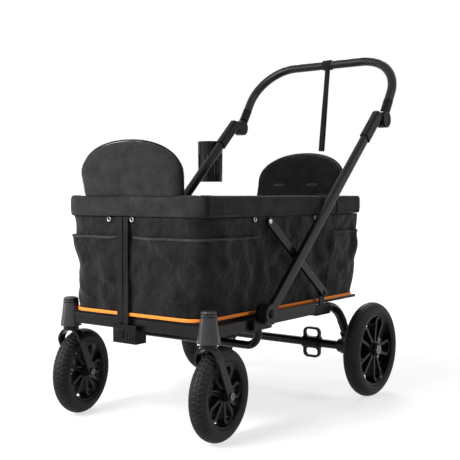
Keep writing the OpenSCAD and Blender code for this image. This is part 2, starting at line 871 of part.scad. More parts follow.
module arm(s) {
    color(charcoal) difference() {
        along_arm(s) {
            side_plate(arm_x, arm_t) circle(boss_r);
            translate([arm_mid_x, 0, 0]) rotate([-90, 0, 0]) linear_extrude(arm_l - sleeve_start)
                round_rect(arm_t, arm_w, arm_round);
        }
        on_side(s) cross_rod(arm_x - overrun, arm_out_x + overrun, hinge_point, hinge_pin_r + run_gap);
        along_arm(s) translate([arm_mid_x, boss_r, 0]) rotate([-90, 0, 0]) linear_extrude(arm_l)
            round_rect(arm_t - 2 * tube_wall, arm_w - 2 * tube_wall, arm_round - tube_wall);
    }
}

module tilt_hub(s) {
    sleeve_end = arm_l - sleeve_start + run_gap;
    start = arm_l - sleeve_start - sleeve_l;
    color(black) {
        difference() {
            along_arm(s) translate([arm_mid_x, start, 0]) rotate([-90, 0, 0])
                linear_extrude(sleeve_l + sleeve_cap) round_rect(sleeve_t, sleeve_w, arm_round);
            along_arm(s) translate([arm_mid_x, start - overrun, 0]) rotate([-90, 0, 0])
                linear_extrude(sleeve_l + overrun + run_gap)
                    round_rect(arm_t + 2 * run_gap, arm_w + 2 * run_gap, arm_round);
            on_side(s) cross_rod(hub_in_x + hub_half_t, arm_out_x + sleeve_t, hub_point, hub_r + seat_gap);
        }
        along_arm(s) side_plate(hub_in_x, hub_half_t) {
            translate([arm_l, -hub_drop]) circle(hub_r);
            polygon([[sleeve_end, -sleeve_w / 2], [sleeve_end, sleeve_w / 2],
                [arm_l, hub_r - hub_drop], [arm_l - hub_r, -hub_drop]]);
        }
        on_side(s) cross_rod(hub_in_x, hub_in_x + 2 * hub_half_t - button_well, hub_point, hub_pin_r);
    }
}

module along_bar() {
    translate([0, hub_point[0], hub_point[1]]) rotate([bar_slope, 0, 0]) children();
}

// A tube along the push bar: two legs, two corners and the bar
module bar_path(r, start) {
    run = arm_mid_x - bar_corner_r;
    along_bar() {
        for (s = [-1, 1]) on_side(s) {
            translate([arm_mid_x, start, 0]) rotate([-90, 0, 0])
                cylinder(h = bar_l - bar_corner_r - start, r = r);
            translate([run, bar_l - bar_corner_r, 0]) rotate_extrude(angle = 90)
                translate([bar_corner_r, 0]) circle(r);
        }
        translate([-run, bar_l, 0]) rotate([0, 90, 0]) cylinder(h = 2 * run, r = r);
    }
}

module push_bar() {
    color(charcoal) difference() {
        bar_path(bar_r, yoke_start);
        bar_path(bar_r - tube_wall, yoke_start - overrun);
    }
}

module push_grip() {
    color(black) difference() {
        bar_path(grip_r, yoke_l);
        bar_path(bar_r + run_gap, yoke_l - overrun);
    }
}

module tilt_yokes() {
    color(black) for (s = [-1, 1]) {
        difference() {
            union() {
                along_bar() on_side(s) {
                    side_plate(hub_in_x + hub_half_t + hub_split, hub_half_t - hub_split) {
                        circle(hub_r);
                        translate([0, -neck_w / 2]) square([yoke_start + overrun, neck_w]);
                    }
                    translate([arm_mid_x, yoke_start, 0]) rotate([-90, 0, 0])
                        cylinder(h = yoke_l - yoke_start - seat_gap, r = yoke_r);
                }
            }
            along_bar() on_side(s) translate([arm_mid_x, yoke_start - run_gap, 0]) rotate([-90, 0, 0])
                cylinder(h = yoke_l, r = bar_r + run_gap);
            on_side(s) cross_rod(hub_in_x, arm_out_x + overrun, hub_point, hub_pin_r + run_gap);
            on_side(s) cross_rod(hub_in_x + 2 * hub_half_t - button_well, arm_out_x + sleeve_t, hub_point,
                button_r + run_gap);
        }
    }
}

module tilt_button(s) {
    face = hub_in_x + 2 * hub_half_t;
    color(black) on_side(s)
        cross_rod(face - button_well + button_travel + seat_gap, face + button_t, hub_point, button_r);
}

module wrist_strap() {
    color(cloth) {
        translate([0, bar_point[0], bar_point[1]]) {
            rotate([0, 90, 0]) translate([0, 0, -collar_w / 2]) difference() {
                cylinder(h = collar_w, r = collar_r);
                translate([0, 0, -overrun]) cylinder(h = collar_w + 2 * overrun, r = grip_r + run_gap);
            }
            rotate([0, wrist_lean, 0]) side_plate(-wrist_w / 2, wrist_w)
                translate([0, -collar_r - wrist_set]) difference() {
                wrist_shape(0);
                wrist_shape(wrist_t);
            }
        }
    }
}

module wrist_shape(inset) {
    r = wrist_depth / 2 - inset;
    translate([-r, -wrist_drop + wrist_depth / 2]) square([2 * r, wrist_drop - wrist_depth / 2 - inset]);
    translate([0, -wrist_drop + wrist_depth / 2]) circle(r);
}

module cup_holder() {
    x = -arm_out_x - clamp_t - cup_r - cup_wall;
    color(black) {
        difference() {
            translate([x, at(cup_back), cup_top_z - cup_h])
                cylinder(h = cup_h, r1 = cup_r + cup_wall - cup_taper, r2 = cup_r + cup_wall);
            translate([x, at(cup_back), cup_top_z - cup_h + cup_base_t]) {
                cylinder(h = cup_h - cup_base_t + overrun, r = cup_r);
                cylinder(h = cup_slot_high + cup_relief_over - cup_base_t, r = cup_r + cup_relief);
            }
            for (k = [0 : cup_slots - 1]) translate([x, at(cup_back), cup_top_z - cup_h + cup_slot_low])
                rotate([0, 0, (k + 0.5) * 360 / cup_slots]) translate([0, -cup_slot_w / 2, 0])
                    cube([2 * cup_r, cup_slot_w, cup_slot_high - cup_slot_low]);
        }
        difference() {
            block([x, at(clamp_back) - clamp_w / 2, clamp_z - clamp_h / 2],
                [-arm_out_x, at(cup_back), clamp_z + clamp_h / 2]);
            block([x - overrun, at(clamp_back) - clamp_w, clamp_z - clamp_h],
                [-arm_out_x - clamp_t, at(cup_back) - cup_r, clamp_z + clamp_h]);
            translate([x, at(cup_back), cup_top_z - cup_h]) cylinder(h = cup_h, r = cup_r);
        }
    }
}

// Casters, turned to their heading
module on_caster(s) {
    translate([s * frame_half_w, at(0), 0]) rotate([0, 0, s > 0 ? left_heading : right_heading]) children();
}

module fork(s) {
    out = fork_in + fork_t;
    color(black) on_caster(s) {
        difference() {
            union() {
                translate([0, fork_w / 2, arch_z]) rotate([90, 0, 0]) linear_extrude(fork_w) difference() {
                    circle(out);
                    circle(fork_in);
                    translate([-out, -out]) square([2 * out, out]);
                }
                for (t = [0, 1]) mirror([t, 0, 0]) side_plate(fork_in, fork_t) {
                    polygon([[-fork_w / 2, arch_z], [fork_w / 2, arch_z],
                        front_axle + leg_end_r * [cos(leg_end_turn), sin(leg_end_turn)],
                        front_axle - leg_end_r * [cos(leg_end_turn), sin(leg_end_turn)]]);
                    translate(front_axle) circle(leg_end_r);
                }
                translate([0, 0, arch_z + fork_in + crown_lap])
                    cylinder(h = tower_foot_z - seat_gap - arch_z - fork_in - crown_lap, r = crown_r);
                translate([0, 0, arch_z + fork_in + crown_lap])
                    cylinder(h = stem_top_z - arch_z - fork_in - crown_lap, r = stem_r);
            }
            cross_rod(-out - overrun, out + overrun, front_axle, front_axle_r + run_gap);
        }
    }
}

module front_axle(s) {
    out = fork_in + fork_t;
    color(steel) on_caster(s) {
        cross_rod(-out, out, front_axle, front_axle_r);
        for (t = [0, 1]) mirror([t, 0, 0]) cross_rod(out, out + bolt_head_t, front_axle, bolt_head_r);
    }
}

// Wheels, drawn round Z and then laid on their axle
// Two circles on a line and the space between them
module two_circles(x0, r0, x1, r1) {
    translate([x0, 0]) circle(r0);
    translate([x1, 0]) circle(r1);
    polygon([[x0, r0 * waist_share], [x1, r1 * waist_share],
        [x1, -r1 * waist_share], [x0, -r0 * waist_share]]);
}

// Each pair of spokes is a loop that widens towards the barrel
module spoked_rim(wheel_d, tyre_w, hub_r, bore_r, hub_in, hub_out) {
    seat_r = wheel_d / 2 - tyre_depth;
    in_r = seat_r * window_in_share;
    out_r = seat_r * window_out_share;
    in_at = hub_r + in_r + spoke_w * window_set_share;
    out_at = seat_r - barrel_t / 2 - out_r - spoke_w;
    difference() {
        union() {
            rotate_extrude() translate([seat_r - barrel_t, -tyre_w * barrel_share / 2])
                square([barrel_t, tyre_w * barrel_share]);
            translate([0, 0, -hub_in]) cylinder(h = hub_in + hub_out, r = hub_r);
            for (k = [0 : spoke_pairs - 1]) rotate([0, 0, 360 * k / spoke_pairs])
                translate([0, 0, -spoke_t / 2]) linear_extrude(spoke_t) difference() {
                    two_circles(in_at, in_r + spoke_w, out_at, out_r + spoke_w);
                    two_circles(in_at, in_r, out_at, out_r);
                }
        }
        translate([0, 0, -hub_in - overrun])
            cylinder(h = hub_in + hub_out + 2 * overrun, r = bore_r + run_gap);
    }
}

module tyre(wheel_d, tyre_w) {
    seat_r = wheel_d / 2 - tyre_depth + run_gap;
    rotate_extrude() intersection() {
        translate([wheel_d / 2 - tyre_w / 2, 0]) circle(tyre_w / 2);
        translate([seat_r, -tyre_w]) square([wheel_d, 2 * tyre_w]);
    }
}

module front_wheel_place(s) {
    on_caster(s) translate([0, caster_trail, front_wheel_z]) rotate([0, 90, 0]) children();
}

module rear_wheel_place(s) {
    translate([s * rear_wheel_x, axle_point[0], axle_point[1]]) rotate([0, 0, s > 0 ? 0 : 180])
        rotate([0, 90, 0]) children();
}

module front_rim(s) {
    color(charcoal) front_wheel_place(s) rotate([0, 0, front_spoke_turn])
        spoked_rim(front_wheel_d, front_tyre_w, front_hub_r, front_axle_r, front_hub_half, front_hub_half);
}

module front_tyre(s) {
    color(rubber) front_wheel_place(s) tyre(front_wheel_d, front_tyre_w);
}

module rear_rim(s) {
    color(charcoal) rear_wheel_place(s) difference() {
        union() {
            rotate([0, 0, rear_spoke_turn])
                spoked_rim(rear_wheel_d, rear_tyre_w, rear_hub_r, axle_r, rear_hub_half, rear_hub_out);
            translate([0, 0, flange_set - rear_hub_half]) linear_extrude(flange_t) difference() {
                circle(flange_r);
                circle(rear_hub_r - overrun);
            }
        }
        for (k = [0 : brake_holes - 1]) rotate([0, 0, 360 * k / brake_holes])
            translate([pin_ring_r, 0, -rear_hub_half])
                cylinder(h = flange_set + flange_t + overrun, r = brake_hole_r);
    }
}

module rear_tyre(s) {
    color(rubber) rear_wheel_place(s) tyre(rear_wheel_d, rear_tyre_w);
}

front_crossbar();
rear_crossbar();
caster_tower(1);  // caster_tower_left
caster_tower(-1);  // caster_tower_right
side_tubes();
fold_bracket(1);  // fold_bracket_left
fold_bracket(-1);  // fold_bracket_right
rear_tubes();
rear_bracket(1);  // rear_bracket_left
rear_bracket(-1);  // rear_bracket_right
rear_leg(1);  // rear_leg_left
rear_leg(-1);  // rear_leg_right
axle_tube();
axle_rod();
brake_housing(1);  // brake_housing_left
brake_housing(-1);  // brake_housing_right
under_hoop();
floor_board();
seat_cushion(-1);  // seat_cushion_front
seat_cushion(1);  // seat_cushion_rear
fabric_tub();
piping();
front_strap();
strap_buckle();
rim_rail();
rim_pad();
rim_rings();
seat_hinges();
strut(1);  // strut_left
strut(-1);  // strut_right
uprights(-1);  // front_uprights
uprights(1);  // rear_uprights
seat_back(-1);  // seat_back_front
seat_back(1);  // seat_back_rear
arm(1);  // arm_left
arm(-1);  // arm_right
tilt_hub(1);  // tilt_hub_left
tilt_hub(-1);  // tilt_hub_right
cup_holder();
push_bar();
push_grip();
tilt_yokes();
wrist_strap();
tilt_button(1);  // tilt_button_left
tilt_button(-1);  // tilt_button_right
fork(1);  // fork_left
fork(-1);  // fork_right
front_axle(1);  // front_axle_left
front_axle(-1);  // front_axle_right
front_rim(1);  // front_rim_left
front_rim(-1);  // front_rim_right
front_tyre(1);  // front_tyre_left
front_tyre(-1);  // front_tyre_right
rear_rim(1);  // rear_rim_left
rear_rim(-1);  // rear_rim_right
rear_tyre(1);  // rear_tyre_left
rear_tyre(-1);  // rear_tyre_right
brake_pedal();
brake_pin(1);  // brake_pin_left
brake_pin(-1);  // brake_pin_right
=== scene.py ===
# %% [markdown]
# # Dressing a stroller wagon
# The solids of the wagon come in as a fixed frame, in metres, floor at z = 0, forward along -Y.
# This lesson adds what the solids leave plain: the cloth tub and its pockets, the padded rim and
# seats, webbing, tyre treads and every finish. Shapes are numpy surfaces, so a whole piece is
# computed at once as an array.

# %% Load the frame
import json
import math

import bmesh
import bpy
import numpy as np
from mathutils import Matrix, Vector


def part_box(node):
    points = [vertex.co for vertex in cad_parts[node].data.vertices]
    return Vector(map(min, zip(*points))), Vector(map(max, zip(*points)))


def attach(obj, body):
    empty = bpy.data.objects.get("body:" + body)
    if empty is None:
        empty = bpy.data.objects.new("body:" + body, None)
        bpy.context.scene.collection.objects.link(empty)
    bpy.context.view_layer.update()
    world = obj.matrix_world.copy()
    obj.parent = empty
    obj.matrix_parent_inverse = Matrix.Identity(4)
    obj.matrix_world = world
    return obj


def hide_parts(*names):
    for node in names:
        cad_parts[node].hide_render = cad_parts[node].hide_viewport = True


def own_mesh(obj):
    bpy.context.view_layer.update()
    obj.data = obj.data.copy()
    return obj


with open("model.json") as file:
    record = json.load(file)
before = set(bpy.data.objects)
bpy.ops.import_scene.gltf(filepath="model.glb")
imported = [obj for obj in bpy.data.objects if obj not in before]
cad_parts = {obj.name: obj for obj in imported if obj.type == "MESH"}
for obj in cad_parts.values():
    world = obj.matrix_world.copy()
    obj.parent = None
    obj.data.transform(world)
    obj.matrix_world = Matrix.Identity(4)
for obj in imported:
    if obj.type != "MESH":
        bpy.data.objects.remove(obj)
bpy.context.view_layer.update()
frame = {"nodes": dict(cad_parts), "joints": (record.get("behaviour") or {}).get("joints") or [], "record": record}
nodes = frame["nodes"]
joints = {j["name"]: j for j in frame["joints"]}
MM = 0.001
UP = np.array([0.0, 0.0, 1.0])
print("solids:", len(nodes), "joints:", len(joints))

# %% [markdown]
# ## Camera
# The view was solved from the wheels, the rim and the frame corners: a long lens at rim height,
# turned 37 degrees to the wagon's left. The principal point is the picture's centre, so no shift.

# %% Camera
lens_data = bpy.data.cameras.new("photo_camera")
lens_data.sensor_width = 36.0
lens_data.lens = 65.38
camera = bpy.data.objects.new("photo_camera", lens_data)
camera.location = (1.5343, -1.9971, 0.6313)
camera.rotation_euler = (math.radians(87.6329), 0.0, math.radians(36.7563))
bpy.context.scene.collection.objects.link(camera)
bpy.context.scene.camera = camera
print("camera at", tuple(camera.location))

# %% [markdown]
# ## Surfaces as arrays
# A surface is a grid of points: one index runs along it, the other across. Wrapping an index joins
# the last row to the first, which closes a tube or a ring. Several surfaces can be put in one mesh.
# The pieces could also be modelled by hand, but as arrays each shape is a formula that can be read.

# %% Grid helpers
def surface(points, wrap_u=False, wrap_v=False):
    """Quads over a grid of points of shape (n, m, 3): each quad joins a point to its neighbours
    along u and v, and a wrapped direction also joins the last to the first."""
    n, m = points.shape[:2]
    i = np.arange(n if wrap_u else n - 1)[:, None]
    j = np.arange(m if wrap_v else m - 1)[None, :]
    i2, j2 = (i + 1) % n, (j + 1) % m
    quads = np.stack([i * m + j, i2 * m + j, i2 * m + j2, i * m + j2], axis=-1)
    return points.reshape(-1, 3), quads.reshape(-1, 4)


def joined(parts):
    """One list of points and quads from several, the quads renumbered."""
    counts = np.cumsum([0] + [len(v) for v, _ in parts[:-1]])
    return np.vstack([v for v, _ in parts]), np.vstack([q + k for (_, q), k in zip(parts, counts)])


def capped_tube(rings):
    """A closed tube from rings of points (n, m, 3), each end drawn together to its middle."""
    ends = [rings[k].mean(axis=0, keepdims=True).repeat(rings.shape[1], axis=0) for k in (0, -1)]
    return surface(np.concatenate([ends[:1], rings, ends[1:]]), wrap_v=True)


def full_turn(count):
    """Evenly spaced angles once round a circle, in radians."""
    return np.linspace(0, 2 * math.pi, count, endpoint=False)


def unit(vectors):
    """Each row of an array of vectors, divided by its length."""
    return vectors / np.linalg.norm(vectors, axis=1, keepdims=True)


def piece(name, shape, material, body, merge=0.00001):
    """Puts points and quads into a mesh object at the origin, with its finish and its body."""
    points, quads = shape
    mesh = bpy.data.meshes.new(name)
    mesh.from_pydata(points.tolist(), [], quads.tolist())
    made = bpy.data.objects.new(name, mesh)
    bpy.context.scene.collection.objects.link(made)
    bm = bmesh.new()
    bm.from_mesh(mesh)
    bmesh.ops.remove_doubles(bm, verts=bm.verts, dist=merge)
    bmesh.ops.recalc_face_normals(bm, faces=bm.faces)
    bm.to_mesh(mesh)
    bm.free()
    mesh.shade_smooth()
    mesh.materials.append(material)
    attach(made, body)
    print(f"{name}: {len(mesh.polygons)} faces on {body}")
    return made


print("quads over a grid of 3 by 4 points:", len(surface(np.zeros((3, 4, 3)))[1]))

# %% [markdown]
# ## Finishes
# Everything on the wagon is black or charcoal, so the finishes differ by grain and gloss: satin
# powder coat on tubes, grained moulded plastic, matt rubber, and a two-tone weave on the cloth.
# Photographs of materials could be laid on instead, but a pattern of nodes needs no file and no
# unwrapping. Each one reads Object coordinates in metres, so its scale is the real one.

# %% Node trees
SEEN_RAYS = ("Camera", "Glossy", "Transmission")


class Tree:
    """A node tree that is built one node at a time."""

    def __init__(self, tree):
        self.tree = tree

    def add(self, kind, **settings):
        """A node with its sockets and settings set by name; a space in a name is written as _."""
        made = self.tree.nodes.new(kind)
        for key, value in settings.items():
            socket = key.replace("_", " ")
            if socket in made.inputs:
                made.inputs[socket].default_value = value
            else:
                setattr(made, key, value)
        return made

    def link(self, out, into):
        self.tree.links.new(out, into)

    def maths(self, operation, first, second, **settings):
        """One operation on a factor and a second factor or number."""
        made = self.add("ShaderNodeMath", operation=operation, **settings)
        self.link(first, made.inputs[0])
        if isinstance(second, int):
            made.inputs[1].default_value = second
        else:
            self.link(second, made.inputs[1])
        return made.outputs[0]

    def total(self, first, *others):
        for other in others:
            first = self.maths("ADD", first, other)
        return first

    def mean(self, *factors):
        return self.maths("DIVIDE", self.total(*factors), len(factors))

    def ranged(self, factor, **limits):
        """A factor carried from one range of values to another."""
        made = self.add("ShaderNodeMapRange", **limits)
        self.link(factor, made.inputs["Value"])
        return made.outputs["Result"]

    def seen(self):
        """1 where a ray shows the surroundings themselves: straight, mirrored or through a pane."""
        rays = self.add("ShaderNodeLightPath").outputs
        return self.total(*(rays[f"Is {kind} Ray"] for kind in SEEN_RAYS))


print("rays that see the surroundings:", *SEEN_RAYS)

# %% [markdown]
# A finish is a tree that ends in one Principled shader. Patterns, colours, gloss and relief are added
# to it in turn, so each real effect, such as grain or wear, is one line where the finish is made.

# %% Building a finish
class Finish(Tree):
    """A material whose patterns lie on the piece's own coordinates."""

    def __init__(self, name, roughness, **sockets):
        self.material = bpy.data.materials.new(name)
        self.material.use_nodes = True
        super().__init__(self.material.node_tree)
        self.shader = self.tree.nodes["Principled BSDF"]
        for socket, value in {"Roughness": roughness, **sockets}.items():
            self.shader.inputs[socket.replace("_", " ")].default_value = value
        self.place = self.add("ShaderNodeTexCoord").outputs["Object"]

    def pattern(self, kind, **settings):
        made = self.add(kind, **settings)
        self.link(self.place, made.inputs["Vector"])
        return made.outputs["Fac"]

    def noise(self, scale, detail=3.0):
        return self.pattern("ShaderNodeTexNoise", Scale=scale, Detail=detail)

    def bands(self, axis, scale):
        return self.pattern("ShaderNodeTexWave", bands_direction=axis, Scale=scale)

    def colours(self, factor, low, high, start=0.3, end=0.7, highlight_and_wear=None):
        ramp = self.add("ShaderNodeValToRGB")
        stops = ramp.color_ramp.elements
        for k, (position, colour) in enumerate(((start, low), (end, high))):
            stops[k].position, stops[k].color = position, (*colour, 1.0)
        # An extra stop at 1.0 colours the edges paler: a painted highlight that also stands for wear.
        if highlight_and_wear:
            stops.new(1.0).color = (*highlight_and_wear, 1.0)
        self.link(factor, ramp.inputs["Fac"])
        self.link(ramp.outputs["Color"], self.shader.inputs["Base Color"])

    def gloss(self, factor, low, high):
        self.link(self.ranged(factor, To_Min=low, To_Max=high), self.shader.inputs["Roughness"])

    def soft_edges(self, radius):
        """Rounds the edges in the shading, and returns how far a point is from flat: 0 on a face."""
        made = self.add("ShaderNodeBevel", samples=6, Radius=radius)
        self.link(made.outputs["Normal"], self.shader.inputs["Normal"])
        same = self.add("ShaderNodeVectorMath", operation="DOT_PRODUCT")
        self.link(made.outputs["Normal"], same.inputs[0])
        self.link(self.add("ShaderNodeNewGeometry").outputs["True Normal"], same.inputs[1])
        return self.ranged(same.outputs["Value"], From_Min=1.0, From_Max=0.7, To_Max=0.6)

    def relief(self, height, strength, distance):
        """Bump on top of what already bends the shading."""
        made = self.add("ShaderNodeBump", Strength=strength, Distance=distance)
        self.link(height, made.inputs["Height"])
        normal = self.shader.inputs["Normal"]
        if normal.is_linked:
            self.link(normal.links[0].from_socket, made.inputs["Normal"])
        self.link(made.outputs["Normal"], normal)


def grey(level, blue=1.02):
    """A neutral grey, with its blue a little stronger."""
    return (level, level, level * blue)


print("a dark grey:", grey(0.01))

# %% [markdown]
# Paint, plastic, rubber and steel are one recipe with different numbers. Edges of real parts are
# never sharp, so the Bevel node rounds them in the shading, which costs no geometry, and pales
# them: a painted highlight along each edge that also stands for rubbed wear.

# %% Hard finishes
EDGE_R = 3 * MM


def moulded(name, level, roughness, grain, depth, spread=0.25, **sockets):
    """Grained plastic or paint: fine noise for the grain, broad noise for uneven colour and gloss,
    and edges that are rounded and painted paler, a painted highlight that also stands for wear."""
    made = Finish(name, roughness, **sockets)
    broad = made.noise(14.0)
    low, high, highlight_and_wear = (grey(level * share) for share in (1 - spread, 1 + spread, 6))
    # The edge mask is added to the noise, which paints the edges paler: a painted highlight and rubbed wear
    # together.
    made.colours(made.total(broad, made.soft_edges(EDGE_R)), low, high, highlight_and_wear=highlight_and_wear)
    made.gloss(broad, roughness - 0.05, roughness + 0.07)
    made.relief(made.noise(grain, 2.0), 0.35, depth)
    return made.material


frame_paint = moulded("frame_paint", 0.005, 0.24, 1500.0, 0.00005, Specular_IOR_Level=0.15)
tower_paint = moulded("tower_paint", 0.02, 0.24, 1300.0, 0.00005, Specular_IOR_Level=0.4)
black_plastic = moulded("black_plastic", 0.003, 0.3, 1800.0, 0.0001, Specular_IOR_Level=0.11)
rim_plastic = moulded("wheel_plastic", 0.003, 0.32, 1600.0, 0.0001, Specular_IOR_Level=0.13)
tyre_rubber = moulded("tyre_rubber", 0.005, 0.5, 700.0, 0.0003, 0.4, Specular_IOR_Level=0.14)
bright_steel = moulded("plated_steel", 0.42, 0.3, 900.0, 0.00005, 0.15, Metallic=1.0)
dark_steel = moulded("dark_steel", 0.09, 0.38, 900.0, 0.00005, 0.2, Metallic=1.0)
grip_cover = moulded("grip_cover", 0.005, 0.36, 1000.0, 0.0003, 0.3, Specular_IOR_Level=0.22)
print("hard finishes: 8")

# %% [markdown]
# Cloth is a plain weave of black and charcoal yarn. Three sets of fine bands along X, Y and Z give
# the yarns' relief on a panel that faces any way, and noise of three sizes mixes the two colours.

# %% Cloth finishes
def woven(name, dark, light, yarn, roughness=0.92, crease=0.0, shine=0.08):
    """Two-tone weave: bands with a period of yarn metres, speckle of three sizes between two greys,
    and creases, which are broad noise of the given height in metres."""
    made = Finish(name, roughness, Sheen_Weight=0.08, Specular_IOR_Level=shine)
    speckle = made.mean(made.noise(900.0, 2.0), made.noise(380.0, 2.0), made.noise(24.0, 4.0))
    made.colours(speckle, grey(dark), grey(light), 0.38, 0.64)
    scale = math.pi / 10 / yarn
    made.relief(made.total(*(made.bands(axis, scale) for axis in "XYZ")), 0.45, 0.0004)
    if crease:
        made.relief(made.noise(9.0, 3.0), 1.0, crease)
        made.relief(made.noise(27.0, 2.0), 1.0, crease * 0.22)
    return made.material


tub_cloth = woven("tub_cloth", 0.002, 0.013, 0.0016, 0.55, 0.032, 0.06)
rim_cloth = woven("rim_cloth", 0.009, 0.035, 0.0015, crease=0.006)
seat_cloth = woven("seat_cloth", 0.009, 0.034, 0.0015, crease=0.002)
lining_cloth = woven("lining_cloth", 0.002, 0.0105, 0.0016, crease=0.004, shine=0.04)
webbing = woven("webbing", 0.004, 0.016, 0.0022, 0.8)
hem_tape = woven("hem_tape", 0.016, 0.05, 0.0018, 0.75)
thread = woven("thread", 0.016, 0.036, 0.0008, 0.7)

orange = Finish("orange_tape", 0.62, Sheen_Weight=0.1)
orange.colours(orange.noise(300.0), (0.93, 0.2, 0.004), (1.0, 0.27, 0.01))
orange.relief(orange.total(orange.bands("DIAGONAL", 220.0), orange.bands("Z", 260.0)), 0.3, 0.0003)
print("cloth finishes: 8")

# %% [markdown]
# Each solid names a material slot. The finishes could be given one by one, but a table from slot to
# finish dresses all of them at once. Only the small rings under the rim are plated brighter than the
# other steel.

# %% Finishes on the solids
finish_of_slot = {
    "frame_paint": frame_paint, "black_plastic": black_plastic, "tower_plastic": tower_paint,
    "rim_plastic": rim_plastic, "tyre_rubber": tyre_rubber, "body_cloth": tub_cloth,
    "rim_cloth": rim_cloth, "seat_cloth": seat_cloth, "webbing": webbing,
    "orange_piping": orange.material, "grip_cover": grip_cover, "bright_steel": dark_steel,
}
for part in frame["record"]["subparts"]:
    mesh = nodes[part["node"]].data
    mesh.materials.clear()
    mesh.materials.append(finish_of_slot[part["material_slot"]])
nodes["rim_rings"].data.materials[0] = bright_steel

# %% [markdown]
# ## The loop of the rim and the tub
# Rim, tub and piping all follow a rectangle with round corners. One function gives it for any half
# width, half length and corner radius, with the same share of points on each side and corner, so
# loops of different sizes match point for point.

# %% Rounded loop
CORNER_STEPS, SHORT_STEPS, LONG_STEPS = 20, 80, 140
rim_low, rim_high = np.array(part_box("rim_pad"))
RIM_HALF_W, RIM_HALF_L = (rim_high - rim_low)[:2] / 2
TUB_MIDDLE_Y = float(rim_low[1] + rim_high[1]) / 2


def on_circle(turn):
    """Cosine and sine of each angle, side by side."""
    return np.stack([np.cos(turn), np.sin(turn)], axis=-1)


def rounded_loop(half_w, half_l, corner_r, ahead=0.0):
    """Rectangle with round corners about the tub's middle, or ahead of it: a quarter circle at each
    corner, then a straight run to the next. Returns points (n, 2) and outward normals (n, 2)."""
    middles = np.array([(1, 1), (-1, 1), (-1, -1), (1, -1)]) * [half_w - corner_r, half_l - corner_r]
    spots, turns = [], []
    for k in range(4):
        turn = (k + np.linspace(0, 1, CORNER_STEPS, endpoint=False)) * math.pi / 2
        last, count = (k + 1) * math.pi / 2, (SHORT_STEPS, LONG_STEPS)[k % 2]
        share = np.linspace(0, 1, count, endpoint=False)[:, None]
        spots.append(middles[k] + corner_r * on_circle(turn))
        spots.append(middles[k] + corner_r * on_circle(last) + share * (middles[(k + 1) % 4] - middles[k]))
        turns += [turn, np.full(count, last)]
    return np.concatenate(spots) + [0.0, TUB_MIDDLE_Y - ahead], on_circle(np.concatenate(turns))


def along(loop):
    """Distance along a closed loop of points, in metres, starting at 0, and the loop's length."""
    steps = np.linalg.norm(np.roll(loop, -1, axis=0) - loop, axis=1)
    return np.concatenate([[0.0], np.cumsum(steps)[:-1]]), steps.sum()


def nearest(loop, x, y):
    """The number of the loop point nearest to a place in plan."""
    return int(np.argmin(np.hypot(loop[:, 0] - x, loop[:, 1] - y)))


def ripple(distance, length, waves, seed):
    """Smooth uneven ripple along a closed loop: a few sines with whole numbers of waves, so that it
    meets itself, each with its own phase. Lies within about -1 and 1."""
    draw = np.random.default_rng(seed)
    total = np.zeros_like(distance)
    for count in waves:
        total += np.sin(2 * math.pi * count * distance / length + draw.uniform(0, 2 * math.pi))
    return total / math.sqrt(len(waves) * 2)


print("rim", np.round((rim_high - rim_low) * 1000))

# %% [markdown]
# ## Padded rim
# The rim is a foam sleeve sewn round a tube: nearly flat on its faces, round on its edges, with one
# lengthwise seam low on the outside and crosswise seams at the corners. A closed profile carried
# round the loop gives it, and the seams are narrow dips in that profile. A curve with a bevel would
# give the sleeve too, but not the dips.

# %% Rim sleeve
RIM_CORNER_R, RIM_T, RIM_POWER = 70 * MM, 34 * MM, 0.42
RIM_H, RIM_Z = float(rim_high[2] - rim_low[2]), (rim_low[2] + rim_high[2]) / 2


def rim_loop():
    """The middle line of the rim's sleeve in plan, with its normals."""
    half = RIM_T / 2
    return rounded_loop(RIM_HALF_W - half, RIM_HALF_L - half, RIM_CORNER_R - half)


def squared(wave, power):
    """A cosine or sine raised to a power, its sign kept; below one, it turns a circle boxy."""
    return np.sign(wave) * np.abs(wave) ** power


def box_profile(width, height, power, count):
    """Closed profile between a box and an oval: cosine and sine raised to a power below one."""
    turn = full_turn(count)
    return np.stack([squared(np.cos(turn), power) * width / 2,
                     squared(np.sin(turn), power) * height / 2], axis=1)


def dip(distance, place, width):
    """A bell-shaped dip of height 1 at a place."""
    return np.exp(-((distance - place) / width) ** 2)


def carried(loop, normal, out, height):
    """A section carried round a loop: each point is moved out along the normal, to a height."""
    points = np.empty((len(loop), out.shape[1], 3))
    points[..., :2] = loop[:, None, :] + out[..., None] * normal[:, None, :]
    points[..., 2] = height
    return surface(points, True, True)


def padded_rim():
    """The profile carried round the loop: a point is the loop's middle line, plus its offset along
    the loop's outward normal and along Z, drawn in at seams and by slow ripples."""
    loop, normal = rim_loop()
    distance, length = along(loop)
    profile = box_profile(RIM_T, RIM_H, RIM_POWER, 72)
    slow = ripple(distance, length, (9, 14, 23, 37), 3)[:, None]
    fine = ripple(distance, length, (61, 83, 107), 4)[:, None]
    draw = 0.012 * (1 + slow) + 0.006 * fine * np.sin(3 * full_turn(72))[None, :] + 0.004
    half_way = LONG_STEPS + SHORT_STEPS + 2 * CORNER_STEPS
    marks = (CORNER_STEPS // 2, SHORT_STEPS + 3 * CORNER_STEPS // 2, CORNER_STEPS + SHORT_STEPS // 2)
    seams = [distance[begin + mark] for begin in (0, half_way) for mark in marks]
    draw = draw + 0.06 * sum(dip(distance, s, 3 * MM) for s in seams)[:, None]
    seam_line = dip(profile[:, 1], -0.3 * RIM_H, 1.6 * MM) * (profile[:, 0] > 0)
    out = profile[None, :, 0] * (1 - draw) - 1.5 * MM * seam_line[None, :]
    out = out - np.where(out > 0, 0.4 * MM, 0)
    return carried(loop, normal, out, RIM_Z + profile[None, :, 1] * (1 - draw * 0.6))


